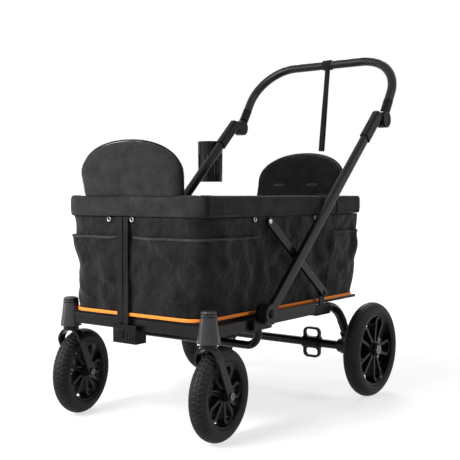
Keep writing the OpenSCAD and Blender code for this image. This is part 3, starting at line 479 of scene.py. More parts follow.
rim = piece("rim_sleeve", padded_rim(), rim_cloth, "rim")
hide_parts("rim_pad")
print("rim sleeve section", round(RIM_T * 1000), "by", round(RIM_H * 1000), "mm")

# %% [markdown]
# ## Cloth tub
# The tub's wall is sewn from panels and hangs between the rim and the floor's edge, leaning in
# towards its foot. It is a loft between two loops, with slack that shows as slow folds, deepest
# half way up. A second skin inside gives it thickness. A cloth simulation could hang it, but a loft
# ends exactly at its two sewn edges.

# %% Tub wall
tub_low, tub_high = np.array(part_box("fabric_tub"))
FOOT_Z, TOP_Z = float(tub_low[2]), float(tub_high[2])
TUB_CORNER_R = 62 * MM
TUB_HALF_W, TUB_HALF_L = float(tub_high[0]), float((tub_high[1] - tub_low[1]) / 2)
SIDE_LEAN, END_LEAN, FOOT_AHEAD = 22 * MM, 10 * MM, 7 * MM
WALL_T, FOLD_DEPTH = 2.2 * MM, 5.0 * MM


def tub_loop(share):
    """The tub's outline at a share of its height: half width and half length grow with height."""
    left = 1 - share
    return rounded_loop(TUB_HALF_W - SIDE_LEAN * left, TUB_HALF_L - END_LEAN * left, TUB_CORNER_R,
                        FOOT_AHEAD * left)


def crumple(distance, length, share, seed, count=30):
    """Creases at many slants: each wave is one less a power of a sine's size, so its crests are
    narrower than its hollows; a whole number of waves goes round. Scaled to about -2 to 2."""
    draw = np.random.default_rng(seed)
    total, weights = np.zeros_like(distance), 0.0
    for _ in range(count):
        around, upward = int(draw.integers(6, 38)), draw.uniform(-4.5, 4.5)
        phase, weight = draw.uniform(0, math.pi), min(1 / math.hypot(around / 10, upward), 0.6)
        wave = np.abs(np.sin(math.pi * (around * distance / length + upward * share) + phase))
        total += weight * (1 - 1.8 * wave ** 1.4)
        weights += weight ** 2
    return np.clip(total / (0.62 * math.sqrt(weights)), -2, 2)


def slack(distance, length, share):
    """Folds in the wall: ripples that lean with height and creases, fading to the sewn edges."""
    body = 0.6 * ripple(distance + 0.12 * share, length, (5, 8, 13, 21), 11)
    body = body + 0.55 * crumple(distance, length, share, 12)
    return body * math.sin(math.pi * min(max(share, 0.0), 1.0)) ** 0.5


def tub_skin(inset, shares):
    """Loops stacked up the wall, each moved along its normal by the folds less an inset."""
    rows = []
    for share in shares:
        loop, normal = tub_loop(share)
        move = FOLD_DEPTH * slack(*along(loop), share) - inset - FOLD_DEPTH * 0.6
        height = np.full(len(loop), FOOT_Z + share * (TOP_Z - FOOT_Z))
        rows.append(np.column_stack([loop + move[:, None] * normal, height]))
    return np.array(rows)


shares = np.linspace(0.0, 1.0, 44)
skins = np.concatenate([tub_skin(0.0, shares), tub_skin(WALL_T, shares[::-1])])
wall = piece("tub_wall", surface(skins, True, True), tub_cloth, "frame")
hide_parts("fabric_tub")
print("tub wall", round((TOP_Z - FOOT_Z) * 1000), "mm high")

# %% [markdown]
# Four patch pockets are sewn to the tub: on each side a long one that runs from the front straps
# round the corner, and a short one behind the struts. Each could be a flat patch, but as a strip of
# the same wall it follows the folds. It stands off a little, fullest near its top, and an elastic hem
# closes it.

# %% Pockets
POCKET_LOW, POCKET_TOP, POCKET_FULL, POCKET_T = 0.03, 0.8, 11 * MM, 1.2 * MM
front_y, rear_y = float(tub_low[1]), float(tub_high[1])
left_x, right_x = TUB_HALF_W, float(tub_low[0])
SPANS = {
    "pocket_left": ((0.006, front_y), (left_x, -0.155)),
    "pocket_right": ((right_x, -0.155), (-0.052, front_y)),
    "pocket_left_rear": ((left_x, 0.235), (left_x - 0.03, 0.44)),
    "pocket_right_rear": ((right_x + 0.03, 0.44), (right_x, 0.235)),
}


def wall_span(begin, end):
    """The numbers of the loop points from one place in plan round to another."""
    loop, _ = tub_loop(0.5)
    first, last = nearest(loop, *begin), nearest(loop, *end)
    return np.arange(first, first + (last - first) % len(loop) + 1) % len(loop)


def pocket(index, seed):
    """A strip of the wall over some loop points, standing off by a bulge that is nothing at its
    sewn edges and greatest near the open top. Returns the outer and the inner skin."""
    across = np.linspace(0, 1, len(index))
    edge = np.minimum(1, np.minimum(across, 1 - across) * 14) ** 0.5
    skins = []
    for share in np.linspace(POCKET_LOW, POCKET_TOP, 30):
        loop, normal = tub_loop(share)
        distance, length = along(loop)
        up = (share - POCKET_LOW) / (POCKET_TOP - POCKET_LOW)
        fold = crumple(distance, length, share, seed)[index]
        off = 0.8 * MM + POCKET_FULL * edge * (0.4 + 0.6 * up ** 0.6) * (0.5 + 0.22 * fold)
        droop = 0.6 + 0.2 * ripple(distance, length, (9, 17, 27), seed)[index]
        high = FOOT_Z + share * (TOP_Z - FOOT_Z) - 4 * MM * edge * up ** 3 * droop
        move = FOLD_DEPTH * (slack(distance, length, share) - 0.6)[index] + off
        skins.append([np.column_stack([loop[index] + (move - inset)[:, None] * normal[index], high])
                      for inset in (0.0, POCKET_T)])
    return np.array(skins).swapaxes(0, 1)


def tape(path, out, up, thick):
    """A flat closed band along a path: four corners of a section, along the path's outward direction
    and its up direction, in metres."""
    corners = [(-thick / 2, -0.5), (thick / 2, -0.5), (thick / 2, 0.5), (-thick / 2, 0.5)]
    return capped_tube(np.stack([path + a * out + b * up for a, b in corners], axis=1))


sewn_on = []
for number, (name, ends) in enumerate(SPANS.items()):
    index = wall_span(*ends)
    rows, backs = pocket(index, 30 + number)
    skins = surface(np.concatenate([rows, backs[::-1]]), True)
    sewn_on.append(piece(name, skins, tub_cloth, "frame"))
    out = np.column_stack([tub_loop(POCKET_TOP)[1][index], np.zeros(len(index))])
    hem = tape(rows[-1] + 0.6 * MM * out, out, 7 * MM * UP, 2.4 * MM)
    sewn_on.append(piece(name + "_hem", hem, hem_tape, "frame"))
print("pockets:", len(SPANS))

# %% [markdown]
# The wall's panels meet in a felled seam near each corner. It could be a line in the finish, but a
# thin tape catches the light. The wall and all that is sewn to it each get a mesh of their own.

# %% Wall seams
CORNER_IN = 45 * MM


def wall_seam(x, y):
    """A narrow felled seam up the wall: a tape on the folded surface, its width along the loop."""
    loop, normal = tub_loop(0.5)
    at = nearest(loop, x, y)
    skin = tub_skin(0.0, np.linspace(0.03, 0.985, 40))[:, at]
    out = np.append(normal[at], 0.0)
    return tape(skin + 0.3 * MM * out, out, 5 * MM * np.array([-out[1], out[0], 0.0]), 1.4 * MM)


def fold_down(made):
    """Gives a soft piece a mesh of its own."""
    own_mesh(made)


seams = [wall_seam(side * (left_x - 8 * MM), y)
         for side in (1, -1) for y in (front_y + CORNER_IN, rear_y - CORNER_IN)]
sewn_on.append(piece("wall_seams", joined(seams), tub_cloth, "frame"))
around = along(tub_loop(0.5)[0])[1]
for soft in [wall, *sewn_on]:
    fold_down(soft)
print("wall cut", round(around, 2), "m long")

# %% [markdown]
# ## Piping and floor lining
# A bright woven tape is sewn over the seam between wall and floor. It is a small rounded section
# carried round the foot of the tub. Inside, a laid cloth covers the board, and a strip of it hangs
# under each long edge.

# %% Piping and lining
def piping():
    """A rounded section, a little taller than deep, carried round the tub's foot loop."""
    low, high = np.array(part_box("piping"))
    half_w, half_l = (high - low)[:2] / 2
    deep, tall = 3 * MM, float(high[2] - low[2])
    ahead = TUB_MIDDLE_Y - (low[1] + high[1]) / 2
    loop, normal = rounded_loop(half_w - deep / 2, half_l - deep / 2, TUB_CORNER_R, ahead)
    section = box_profile(deep, tall, 0.6, 20)
    return carried(loop, normal, section[None, :, 0], (low[2] + high[2]) / 2 + section[None, :, 1])


def floor_lining():
    """Loops that shrink from inside the wall to the middle of the floor, lifted a little by slow
    waves; a copy beneath closes it."""
    loop, normal = tub_loop(0.0)
    loop = loop - 3.5 * MM * normal
    middle = np.array([0.0, TUB_MIDDLE_Y - FOOT_AHEAD])
    inward = np.linspace(1.0, 0.0, 24)
    points = np.empty((len(inward), len(loop), 3))
    points[..., :2] = middle + inward[:, None, None] * (loop - middle)
    wave = np.sin(points[..., 0] * 40) * np.sin(points[..., 1] * 31 + 1)
    points[..., 2] = FOOT_Z + 0.5 * MM + 0.4 * MM * wave
    return surface(np.concatenate([points[::-1] - 1.2 * MM * UP, points]), False, True)


def floor_skirt():
    """A strip of cloth under each long edge of the board, inside the side tubes: a tape along Y."""
    low, high = np.array(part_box("floor_board"))
    begin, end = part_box("front_crossbar")[1][1] + 3 * MM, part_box("rear_crossbar")[0][1] - 3 * MM
    run = np.linspace(begin, end, 60)
    strips = []
    for side in (1, -1):
        x = side * (high[0] - 1.5 * MM) - side * 0.5 * MM * (1 + np.sin(run * 50))
        path = np.column_stack([x, run, np.full(len(run), low[2] - 8 * MM)])
        strips.append(tape(path, np.array([1.0, 0, 0]), 15 * MM * UP, 1.6 * MM))
    return joined(strips)


welt = piece("foot_piping", piping(), orange.material, "frame")
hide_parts("piping")
piece("floor_skirt", floor_skirt(), lining_cloth, "frame")
lining = piece("floor_lining", floor_lining(), lining_cloth, "frame")

# %% [markdown]
# ## Seats
# Cushions and backs are foam in a sewn cover. Each starts as a slightly small closed loft, is turned
# into even cells by a remesh, and is blown up by a short cloth simulation with pressure, so that it
# swells between its seams. How far a point may move is capped, and the result is applied.

# %% Swelling a padded shape
VOXEL = 6 * MM


def read(items, what):
    """One vector of each vertex or face of a mesh, as an array (n, 3)."""
    values = np.empty(len(items) * 3)
    items.foreach_get(what, values)
    return values.reshape(-1, 3)


def swell(made, pressure=4.0, cap=7 * MM, frames=20):
    """Remesh to even cells, run Cloth with pressure and no gravity, keep each point within the cap
    of where it began, and smooth a few times."""
    for thing in bpy.context.selected_objects:
        thing.select_set(False)
    bpy.context.view_layer.objects.active = made
    made.select_set(True)
    remesh = made.modifiers.new("cells", "REMESH")
    remesh.mode = "VOXEL"
    remesh.voxel_size = VOXEL
    bpy.ops.object.modifier_apply(modifier=remesh.name)
    begin = read(made.data.vertices, "co")
    cloth = made.modifiers.new("swell", "CLOTH")
    cloth.settings.quality = 5
    cloth.settings.mass = 0.3
    cloth.settings.use_pressure = True
    cloth.settings.uniform_pressure_force = pressure
    cloth.settings.effector_weights.gravity = 0.0
    cloth.settings.tension_stiffness = cloth.settings.compression_stiffness = 15.0
    cloth.point_cache.frame_end = frames
    for step in range(1, frames + 1):
        bpy.context.scene.frame_set(step)
    swollen = made.evaluated_get(bpy.context.evaluated_depsgraph_get())
    move = read(swollen.data.vertices, "co") - begin
    made.modifiers.remove(cloth)
    bpy.context.scene.frame_set(1)
    far = np.linalg.norm(move, axis=1, keepdims=True)
    end = begin + move * np.minimum(1, cap / np.maximum(far, 1e-9))
    made.data.vertices.foreach_set("co", end.ravel())
    smooth = made.modifiers.new("even", "SMOOTH")
    smooth.factor, smooth.iterations = 0.5, 6
    bpy.ops.object.modifier_apply(modifier=smooth.name)
    made.data.shade_smooth()
    print(f"{made.name}: swelled {1000 * float(far.max()):.1f} mm at most before the cap")


print("cells of", round(VOXEL * 1000), "mm")

# %% [markdown]
# A seat cushion is a boxed pad with a low crown. Its corners are the fullest part of the cover, so
# the rings of the loft are drawn in a little between them. A rounded cube would be quicker, but its
# sides would stay straight.

# %% Seat cushions
def cushion(low, high, margin=6 * MM):
    """A crowned block: rings with nearly square corners, drawn in between the corners, stacked from
    a flat foot to a low crown; the two ends close to a point."""
    middle, half = (low + high) / 2, (high - low)[:2] / 2 - margin
    turn = full_turn(96)
    corner = squared(on_circle(turn), 0.36)
    corner *= (1 - 0.035 * (1 - np.abs(np.sin(2 * turn))) ** 2)[:, None]
    inset = np.array([0.06, 0.02, 0.0, 0.02, 0.07, 0.16, 0.32, 0.55, 0.8]) * half[1]
    rise = np.array([0.02, 0.14, 0.34, 0.58, 0.76, 0.87, 0.93, 0.95, 0.96])
    rings = np.empty((len(inset), len(turn), 3))
    rings[..., :2] = middle[:2] + corner[None] * (half[None] - inset[:, None])[:, None, :]
    rings[..., 2] = low[2] + 0.4 * MM + (rise * (high[2] - low[2] - margin))[:, None]
    return capped_tube(rings)


for end in ("front", "rear"):
    solid = f"seat_cushion_{end}"
    pad = piece(f"cushion_{end}", cushion(*np.array(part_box(solid))), seat_cloth, "frame")
    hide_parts(solid)
    swell(pad)

# %% [markdown]
# A seat back is a low arch that stands on the end of the rim: straight sides, then a rounded top. It
# is hinged at the rim's inner edge and lies outward of that line, so it folds in over the seat. The
# front one is a little wider than the rear one, and the rear one leans back further.

# %% Seat backs
BACK_T, BACK_LOW, BACK_POWER = 40 * MM, -13 * MM, 0.94
BACKS = {"front_back": dict(half_w=182 * MM, tall=150 * MM, lean=math.radians(9.0), sign=-1),
         "rear_back": dict(half_w=172 * MM, tall=160 * MM, lean=math.radians(19.0), sign=1)}


def run_of(line):
    """Distance along an open line of points, starting at 0."""
    return np.concatenate([[0], np.cumsum(np.linalg.norm(np.diff(line, axis=0), axis=1))])


def walk(line, wanted):
    """Points at given distances along an open line, found between its own points."""
    distance = run_of(line)
    return np.stack([np.interp(wanted, distance, column) for column in line.T], axis=-1)


def back_outline(end, inset, count=160):
    """Closed outline of a seat back in its own plane, drawn in by an inset: up one side, over an arch
    that is between an oval and a box, and down the other, spaced evenly."""
    half_w, tall, low = BACKS[end]["half_w"] - inset, BACKS[end]["tall"] - inset, BACK_LOW + inset
    bend = 0.4 * tall
    turn = np.linspace(0, math.pi, 90)
    arch = np.stack([half_w * squared(np.cos(turn), BACK_POWER),
                     bend + (tall - bend) * np.abs(np.sin(turn)) ** BACK_POWER], axis=1)
    corner, foot_w = 8 * MM, 0.97 * half_w
    nook = np.array([[foot_w, low + corner], [foot_w - 0.3 * corner, low + 0.3 * corner],
                     [foot_w - corner, low]])
    line = np.vstack([arch, nook * [-1, 1], nook[::-1], arch[:1]])
    return walk(line, np.linspace(0, run_of(line)[-1], count, endpoint=False))


def stand(flat, end):
    """From a seat back's own plane (across, towards the seat, up) to its place at its hinge."""
    hinge, lean = joints[f"{end}_fold"]["pos_m"], BACKS[end]["lean"]
    depth, up = flat[..., 1], flat[..., 2]
    c, s = math.cos(lean), math.sin(lean)
    return np.stack([flat[..., 0], hinge[1] - BACKS[end]["sign"] * (depth * c - up * s),
                     hinge[2] + up * c + depth * s], axis=-1)


def in_depth(outline, depth):
    """A flat outline (n, 2) put at a depth in a seat back: across, depth, up."""
    return np.column_stack([outline[:, 0], np.full(len(outline), depth), outline[:, 1]])


def on_rim(points, gap):
    """Points that would sink into the rim are set down on it, with a gap."""
    points[..., 2] = np.maximum(points[..., 2], rim_high[2] + gap)
    return points


print("front back", round(float(run_of(back_outline("front_back", 0.0))[-1]), 2), "m round")

# %% [markdown]
# The pad of a back is lofted in its own plane, where its outline is simplest, then stood up at its
# hinge and swollen. Its foot is set flat on the rim, and the faces that look at the seat get the
# darker lining.

# %% Seat back pads
def finish_back(made, end):
    """Sets the foot flat on the rim, and gives the faces that look at the seat the darker lining."""
    mesh = made.data
    mesh.vertices.foreach_set("co", on_rim(read(mesh.vertices, "co"), -2.5 * MM).ravel())
    seat_side = read(mesh.polygons, "normal")[:, 1] * -BACKS[end]["sign"] > 0.55
    mesh.materials.append(lining_cloth)
    mesh.polygons.foreach_set("material_index", seat_side.astype(np.int32))
    mesh.update()


def back_pad(end, margin):
    """Rings of the outline from the outer face to the seat face, drawn in towards both faces, then
    shrunk towards a point near the foot, so that each face is crowned and the foot stays square."""
    outline = back_outline(end, margin)
    middle = np.array([0.0, BACK_LOW + 0.12 * BACKS[end]["tall"]])
    depth = np.array([-1.0, -1.0, -0.98, -0.9, -0.6, 0.0, 0.6, 0.9, 1.0, 1.0, 1.0])
    scale = np.array([0.3, 0.7, 0.9, 0.96, 0.995, 1.0, 0.995, 0.96, 0.88, 0.65, 0.3])
    depth = depth * (BACK_T / 2 - margin) - BACK_T / 2
    rings = np.array([in_depth(middle + k * (outline - middle), d) for k, d in zip(scale, depth)])
    return capped_tube(on_rim(stand(rings, end), -6 * MM))


for end in BACKS:
    pad = piece(f"{end}_pad", back_pad(end, 2 * MM), seat_cloth, end)
    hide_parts("seat_back_" + end.split("_")[0])
    swell(pad, 3.0, 4 * MM)
    finish_back(pad, end)

# %% [markdown]
# A cord is sewn round the edge of each seat back, and two slots for shoulder straps are bound with
# tape. The simulation moves the faces, so the slots are laid on the swollen mesh, not on the loft.

# %% Seat back trim
def square_to(ahead, helper):
    """Two directions square to each direction ahead and to each other, found from a fixed helper."""
    across = unit(np.cross(ahead, helper))
    return across, np.cross(across, ahead)


def circles(across, upward, count):
    """A circle of radius 1 in the plane of each pair of directions: (n, count, 3)."""
    turn = full_turn(count)[None, :, None]
    return np.cos(turn) * across[:, None] + np.sin(turn) * upward[:, None]


def cord(path, radius):
    """A round closed tube along points (n, 3): circles square to the path."""
    ahead = unit(np.roll(path, -1, axis=0) - np.roll(path, 1, axis=0))
    rings = path[:, None] + radius * circles(*square_to(ahead, [0.31, 0.87, 0.38]), 10)
    return surface(rings, True, True)


def settle(flat, end, towards):
    """Lays a path on a face of a seat back: each point moves along the back's depth until it is level
    with the furthest vertex within a centimetre, or else with the nearest one."""
    depth = (stand(np.array([0.0, 1.0, 0.0]), end) - stand(np.zeros(3), end)) * towards
    place, path = read(bpy.data.objects[f"{end}_pad"].data.vertices, "co"), stand(flat, end)
    reach, from_path = place @ depth, path @ depth
    flat_path, flat_place = path - from_path[:, None] * depth, place - reach[:, None] * depth
    gap = np.linalg.norm(flat_path[:, None] - flat_place[None], axis=2)
    level = np.where(gap < 10 * MM, reach[None], -np.inf).max(axis=1)
    level = np.where(np.isfinite(level), level, reach[gap.argmin(axis=1)])
    return path + (level - from_path)[:, None] * depth


def slot_binding(side, end):
    """An oval loop of cord on the seat side, round a slot for a shoulder strap."""
    oval = [side * 66 * MM, 34 * MM] + on_circle(full_turn(48)) * [20 * MM, 2.6 * MM]
    return cord(settle(in_depth(oval, 0.0), end, 1), 1.5 * MM)


for end in BACKS:
    edge = in_depth(back_outline(end, 3.6 * MM), -BACK_T / 2)
    welt = cord(on_rim(stand(edge, end), 2.5 * MM), 2.0 * MM)
    piece(f"{end}_welt", welt, lining_cloth, end)
    bound = [slot_binding(side, end) for side in (-1, 1)]
    piece(f"{end}_slots", joined(bound), hem_tape, end)

# %% [markdown]
# ## Tyres
# A tyre is a ring whose section is most of a circle. The tread is a pattern of blocks pressed into
# the outer part of that section: grooves run round it and slanted cuts cross its shoulders. Points
# of the tread and the sides move only inwards, so the wheel keeps its size. The tread could be a bump
# in the finish, but then the tyre's outline would be smooth.

# %% Tyre treads
TYRE_DEPTH = 34 * MM
FRONT_TYRE, REAR_TYRE = (122 * MM, 50 * MM, 54), (147.5 * MM, 54 * MM, 64)
WHEELS = {"front_wheel_left": FRONT_TYRE, "front_wheel_right": FRONT_TYRE,
          "rear_wheel_left": REAR_TYRE, "rear_wheel_right": REAR_TYRE}


def wheel_frame(joint):
    """Middle of a wheel, its axle direction, and two directions square to it."""
    middle, axle = np.array(joint["pos_m"]), np.array(joint["axis"], float)
    axle /= np.linalg.norm(axle)
    return middle, axle, np.cross(UP, axle), UP


def ring_surface(joint, radii, offsets):
    """Turns a section about a wheel's axle: radii and offsets have shape (around, section)."""
    middle, axle, ahead, upward = wheel_frame(joint)
    turn = full_turn(len(radii))[:, None, None]
    spoke = np.cos(turn) * ahead + np.sin(turn) * upward
    return surface(middle + radii[..., None] * spoke + offsets[..., None] * axle, True, True)


def tread_tyre(joint, radius, width, blocks, around=720):
    """Section angle a runs over the part of a circle outside the rim seat. Grooves: bells at fixed
    angles; cuts: a sawtooth in the turn, slanted by the angle, alternating between the shoulders."""
    half = width / 2
    limit = math.acos((half - TYRE_DEPTH) / half)
    a, t = np.linspace(-limit, limit, 69)[None, :], (np.arange(around) / around)[:, None]
    size = np.abs(a)
    phase = (t * blocks + 0.42 * size + 0.5 * (a > 0)) % 1.0
    cut = (np.abs(phase - 0.5) < 0.13) & (size > 0.3) & (size < 1.12)
    middle_phase = (t * blocks + 0.3 * a) % 1.0
    middle_cut = (np.abs(middle_phase - 0.5) < 0.1) & (size <= 0.3) & (size > 0.06)
    groove = np.maximum(dip(size, 0.34, 0.05), dip(a, 0.0, 0.05))
    tread = 1.7 * MM * np.maximum(np.maximum(cut, middle_cut), groove)
    section = half - tread - 0.9 * MM * (1 - dip(size, 1.45, 0.05)) * (size > 1.2)
    return ring_surface(joint, radius - half + section * np.cos(a), section * np.sin(a))


for body, sizes in WHEELS.items():
    shape = tread_tyre(joints[body + "_spin"], *sizes)
    tyre = piece(body + "_tyre", shape, tyre_rubber, body)
    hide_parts(body.replace("wheel", "tyre"))

# %% [markdown]
# ## Straps
# Two webbing straps come down the front from the rim to the buckle. Webbing is flat and ribbed along
# its length, so it is a thin band with a few long ribs across its width.

# %% Front straps
STRAPS = ((-34 * MM, 20 * MM), (-12 * MM, 16 * MM))


def ribbed_band(path, across, out, width, thick, ribs=6):
    """A flat band along a path: its section is a thin box whose faces carry a low wave, ribs waves
    across the width. Across and out are unit directions, one for all or one for each point."""
    spread = np.linspace(-0.5, 0.5, 4 * ribs + 1)
    face = thick / 2 - 0.12 * thick + 0.12 * thick * np.cos(2 * math.pi * ribs * spread)
    section = np.concatenate([np.column_stack([spread * width, face]),
                              np.column_stack([spread[::-1] * width, -face[::-1]])])
    across, out = (np.broadcast_to(d, path.shape)[:, None] for d in (across, out))
    return capped_tube(path[:, None] + section[None, :, :1] * across + section[None, :, 1:] * out)


strap_low, strap_high = np.array(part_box("front_strap"))
drop = np.linspace(strap_low[2], strap_high[2], 60)
bands = []
for middle, width in STRAPS:
    sway = 0.6 * MM * np.sin((drop - drop[0]) * 38 + middle * 200)
    path = np.column_stack([np.full(60, middle), (strap_low[1] + strap_high[1]) / 2 + sway, drop])
    bands.append(ribbed_band(path, [1.0, 0, 0], [0, 1.0, 0], width, 2.2 * MM))
straps = piece("front_webbing", joined(bands), webbing, "frame")
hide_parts("front_strap")
fold_down(straps)
print("front straps", round(float(strap_high[2] - strap_low[2]) * 1000), "mm")

# %% [markdown]
# ## Wrist strap
# A webbing loop hangs from a sewn collar on the push bar. The loop is one band that goes down, turns
# tightly and comes back up; the collar is a turned sleeve with a stitched edge. It could be a hanging
# cord, but as a fixed band it can ride on the bar.

# %% Wrist strap
wrist_low, wrist_high = np.array(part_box("wrist_strap"))
bar_y, bar_z = float((wrist_low[1] + wrist_high[1]) / 2), float(wrist_high[2] - 18 * MM)
WRIST_LEAN = math.radians(4.7)
COLLAR = np.array([[-17, 15.2], [-17, 17], [-16, 18], [-14.5, 17.4], [-13, 17.9], [13, 17.9],
                   [14.5, 17.4], [16, 18], [17, 17], [17, 15.2], [-17, 15.2]]) * MM


def wrist_loop():
    """A long narrow drop: the two runs meet under the collar, part to 10 mm low down and join in a
    half circle, with the band's width along X. It hangs a few degrees to the right."""
    t = np.linspace(0, 1, 120)
    turn = np.linspace(0, math.pi, 30)
    fall = wrist_high[2] - 36 * MM - wrist_low[2]
    top, half = bar_z - 17.5 * MM, 5.0 * MM
    gap = half * (0.35 + 0.65 * np.clip((t - 0.25) / 0.6, 0, 1) ** 0.8)
    down = top - t * (fall - half)
    left, right = np.column_stack([-gap, down]), np.column_stack([gap, down])
    low = np.column_stack([-half * np.cos(turn), down[-1] - half * np.sin(turn)])
    flat = np.vstack([left, low[1:-1], right[::-1]])
    path = np.column_stack([(flat[:, 1] - bar_z) * math.tan(WRIST_LEAN), bar_y + flat[:, 0], flat[:, 1]])
    across = np.array([math.cos(WRIST_LEAN), 0, -math.sin(WRIST_LEAN)])
    out = np.cross(unit(np.gradient(path, axis=0)), across)
    return ribbed_band(path, across, out, 18 * MM, 1.8 * MM)


def turned(profile, middle, axis="x", count=64):
    """A profile of (along, radius) turned about an axis through middle."""
    turn = full_turn(count)[None, :]
    distance, radius = profile[:, :1], profile[:, 1:]
    flat = np.stack([distance + 0 * turn, radius * np.cos(turn), radius * np.sin(turn)], axis=-1)
    order = {"x": (0, 1, 2), "z": (1, 2, 0)}[axis]
    return surface(np.array(middle) + flat[..., order], False, True)


loop_and_collar = joined([wrist_loop(), turned(COLLAR, (0, bar_y, bar_z))])
strap = piece("wrist_webbing", loop_and_collar, webbing, "handle_bar")
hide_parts("wrist_strap")

# %% [markdown]
# ## Rivets, caps and rings
# Small hardware is a profile turned about an axle: domes on pins and towers, a bevelled ring round
# each tilt button, and bands on the caster towers. Left and right share one profile, turned outward
# on each side.

# %% Turned hardware
def dome(radius, height, steps=8):
    """Profile of a low dome: a quarter ellipse from its rim to its top, on a flat foot."""
    turn = np.linspace(0, math.pi / 2, steps)
    return np.vstack([[0.0, 0.0], np.column_stack([height * np.sin(turn), radius * np.cos(turn)])])


def side_face(node):
    """The outermost X of a piece."""
    return float(np.abs(np.array(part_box(node))[:, 0]).max())


def both_sides(profile, node, y, z):
    """A profile turned about X on a piece's outer face, on the left and, facing away, on the right."""
    x = side_face(node)
    return joined([turned(profile * [side, 1], (side * x, y, z), "x", 40) for side in (1, -1)])


def outer_rings(title, profile, node, joint, body, finish, count):
    """A ring about X on the outer face of a left and a right piece, each on its own body."""
    for side, name in ((1, "left"), (-1, "right")):
        _, y, z = joints[joint.format(name)]["pos_m"]
        ring = turned(profile * [side, 1], (side * side_face(node + name), y, z), "x", count)
        piece(f"{title}_{name}", ring, finish, body + name)


def on_towers(profile, z, count):
    """A profile turned about the swivel axis of both casters."""
    x, y = joints["caster_left_swivel"]["pos_m"][:2]
    return joined([turned(profile, (side * x, y, z), "z", count) for side in (1, -1)])


print("tilt yokes reach", round(side_face("tilt_yokes") * 1000), "mm from the middle")

# %% [markdown]
# Each fitting takes its place from a joint or from the box of the solid it sits on, so its place
# follows when the part's sizes change. The profiles and a few radii are given here, in millimetres.

# %% Hardware in place
TILT_RING = np.array([[0, 19], [1.3, 19.4], [1.9, 20.8], [1.9, 24.2], [1.1, 26.2], [0, 26.8],
                      [0, 19]]) * MM
BUTTON_RING = np.array([[0, 10.5], [0.7, 11], [0.7, 13], [0, 13.5], [0, 10.5]]) * MM
TOWER_BAND = np.array([[-1.4, -1], [-1.4, 0.7], [-0.9, 1.1], [0.9, 1.1], [1.4, 0.7], [1.4, -1],
                       [-1.4, -1]]) * MM
TOWER_FOOT_R, TOWER_TOP_R = 30 * MM, 20 * MM
STRUT_PIN_IN = 12 * MM

rings = both_sides(TILT_RING, "tilt_yokes", *joints["bar_tilt"]["pos_m"][1:])
piece("tilt_rings", rings, black_plastic, "handle_bar")
outer_rings("button_ring", BUTTON_RING, "tilt_button_", "bar_tilt", "button_",
            black_plastic, 40)
caps = both_sides(dome(11 * MM, 2.5 * MM), "fold_bracket_left", *joints["handle_swing"]["pos_m"][1:])
piece("fold_pin_caps", caps, black_plastic, "frame")
strut_low, strut_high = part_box("strut_left")
rivets = both_sides(dome(7 * MM, 2.4 * MM), "strut_left",
                    strut_low[1] + STRUT_PIN_IN, strut_high[2] - STRUT_PIN_IN)
piece("strut_rivets", rivets, bright_steel, "struts")
tower_foot, tower_top = (corner[2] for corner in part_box("caster_tower_left"))
piece("tower_caps", on_towers(dome(18.5 * MM, 4 * MM), tower_top, 48), tower_paint, "frame")
taper = (TOWER_FOOT_R - TOWER_TOP_R) / (tower_top - tower_foot)
bands = [on_towers(TOWER_BAND + [0, TOWER_TOP_R + taper * under], tower_top - under, 56)
         for under in (5 * MM, 12 * MM)]
piece("tower_bands", joined(bands), black_plastic, "frame")

# %% [markdown]
# The cup holder has a rolled lip, and each rear hub a moulded cover. Both could be bevels on the
# solids, but as rings, turned in the same way, they need no change to those.

# %% Cup lip and hub covers
CUP_OUT, LIP_R, LIP_T = 45 * MM, 43.6 * MM, 2 * MM
HUB_COVER = np.array([[0, 14.8], [2.6, 15], [3.6, 16.4], [3, 18.6], [0, 20.4], [0, 14.8]]) * MM
cup_low, cup_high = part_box("cup_holder")
turn = np.linspace(0, 2 * math.pi, 14)
lip = np.column_stack([LIP_T * np.sin(turn), LIP_R + LIP_T * np.cos(turn)])
cup_middle = (cup_low[0] + CUP_OUT, cup_high[1] - CUP_OUT, cup_high[2])
piece("cup_lip", turned(lip, cup_middle, "z", 72), black_plastic, "handle_arms")
outer_rings("hub_cover", HUB_COVER, "rear_rim_", "rear_wheel_{}_spin", "rear_wheel_",
            rim_plastic, 48)

# %% [markdown]
# Each wheel also has a rounded bead at both edges of its barrel, where the tyre sits, and a valve
# stem that points in from the barrel between two spoke loops. The bead is a ring about the axle, made
# like the tyre, and the stem is a row of circles along a spoke's direction.

# %% Wheel beads and valves
VALVE_TURNS = {"front_wheel_left": -34, "front_wheel_right": -34,
               "rear_wheel_left": -40, "rear_wheel_right": -140}


def wheel_bead(joint, seat_r, half_w):
    """Two round rings about the axle at the barrel's edges."""
    turn = np.repeat(full_turn(12)[None, :], 120, axis=0)
    radii = seat_r - 3.2 * MM + 3 * MM * np.cos(turn)
    return joined([ring_surface(joint, radii, side * half_w + 2.4 * MM * np.sin(turn)) for side in (-1, 1)])


def valve(joint, seat_r, turn_deg):
    """A stem with a wider cap, along a spoke direction."""
    middle, axle, ahead, upward = wheel_frame(joint)
    spoke = on_circle(math.radians(turn_deg)) @ [ahead, upward]
    reach = seat_r - np.array([7, 20, 20.5, 21, 33, 34]) * MM
    width = np.array([3, 3, 3, 4, 4, 2.8]) * MM
    circle = circles(axle[None], np.cross(axle, spoke)[None], 16)
    return capped_tube(middle + reach[:, None, None] * spoke + width[:, None, None] * circle)


for body, (radius, width, _) in WHEELS.items():
    joint, seat_r = joints[body + "_spin"], radius - TYRE_DEPTH
    parts = [wheel_bead(joint, seat_r, 0.38 * width), valve(joint, seat_r, VALVE_TURNS[body])]
    piece(body + "_bead", joined(parts), rim_plastic, body)

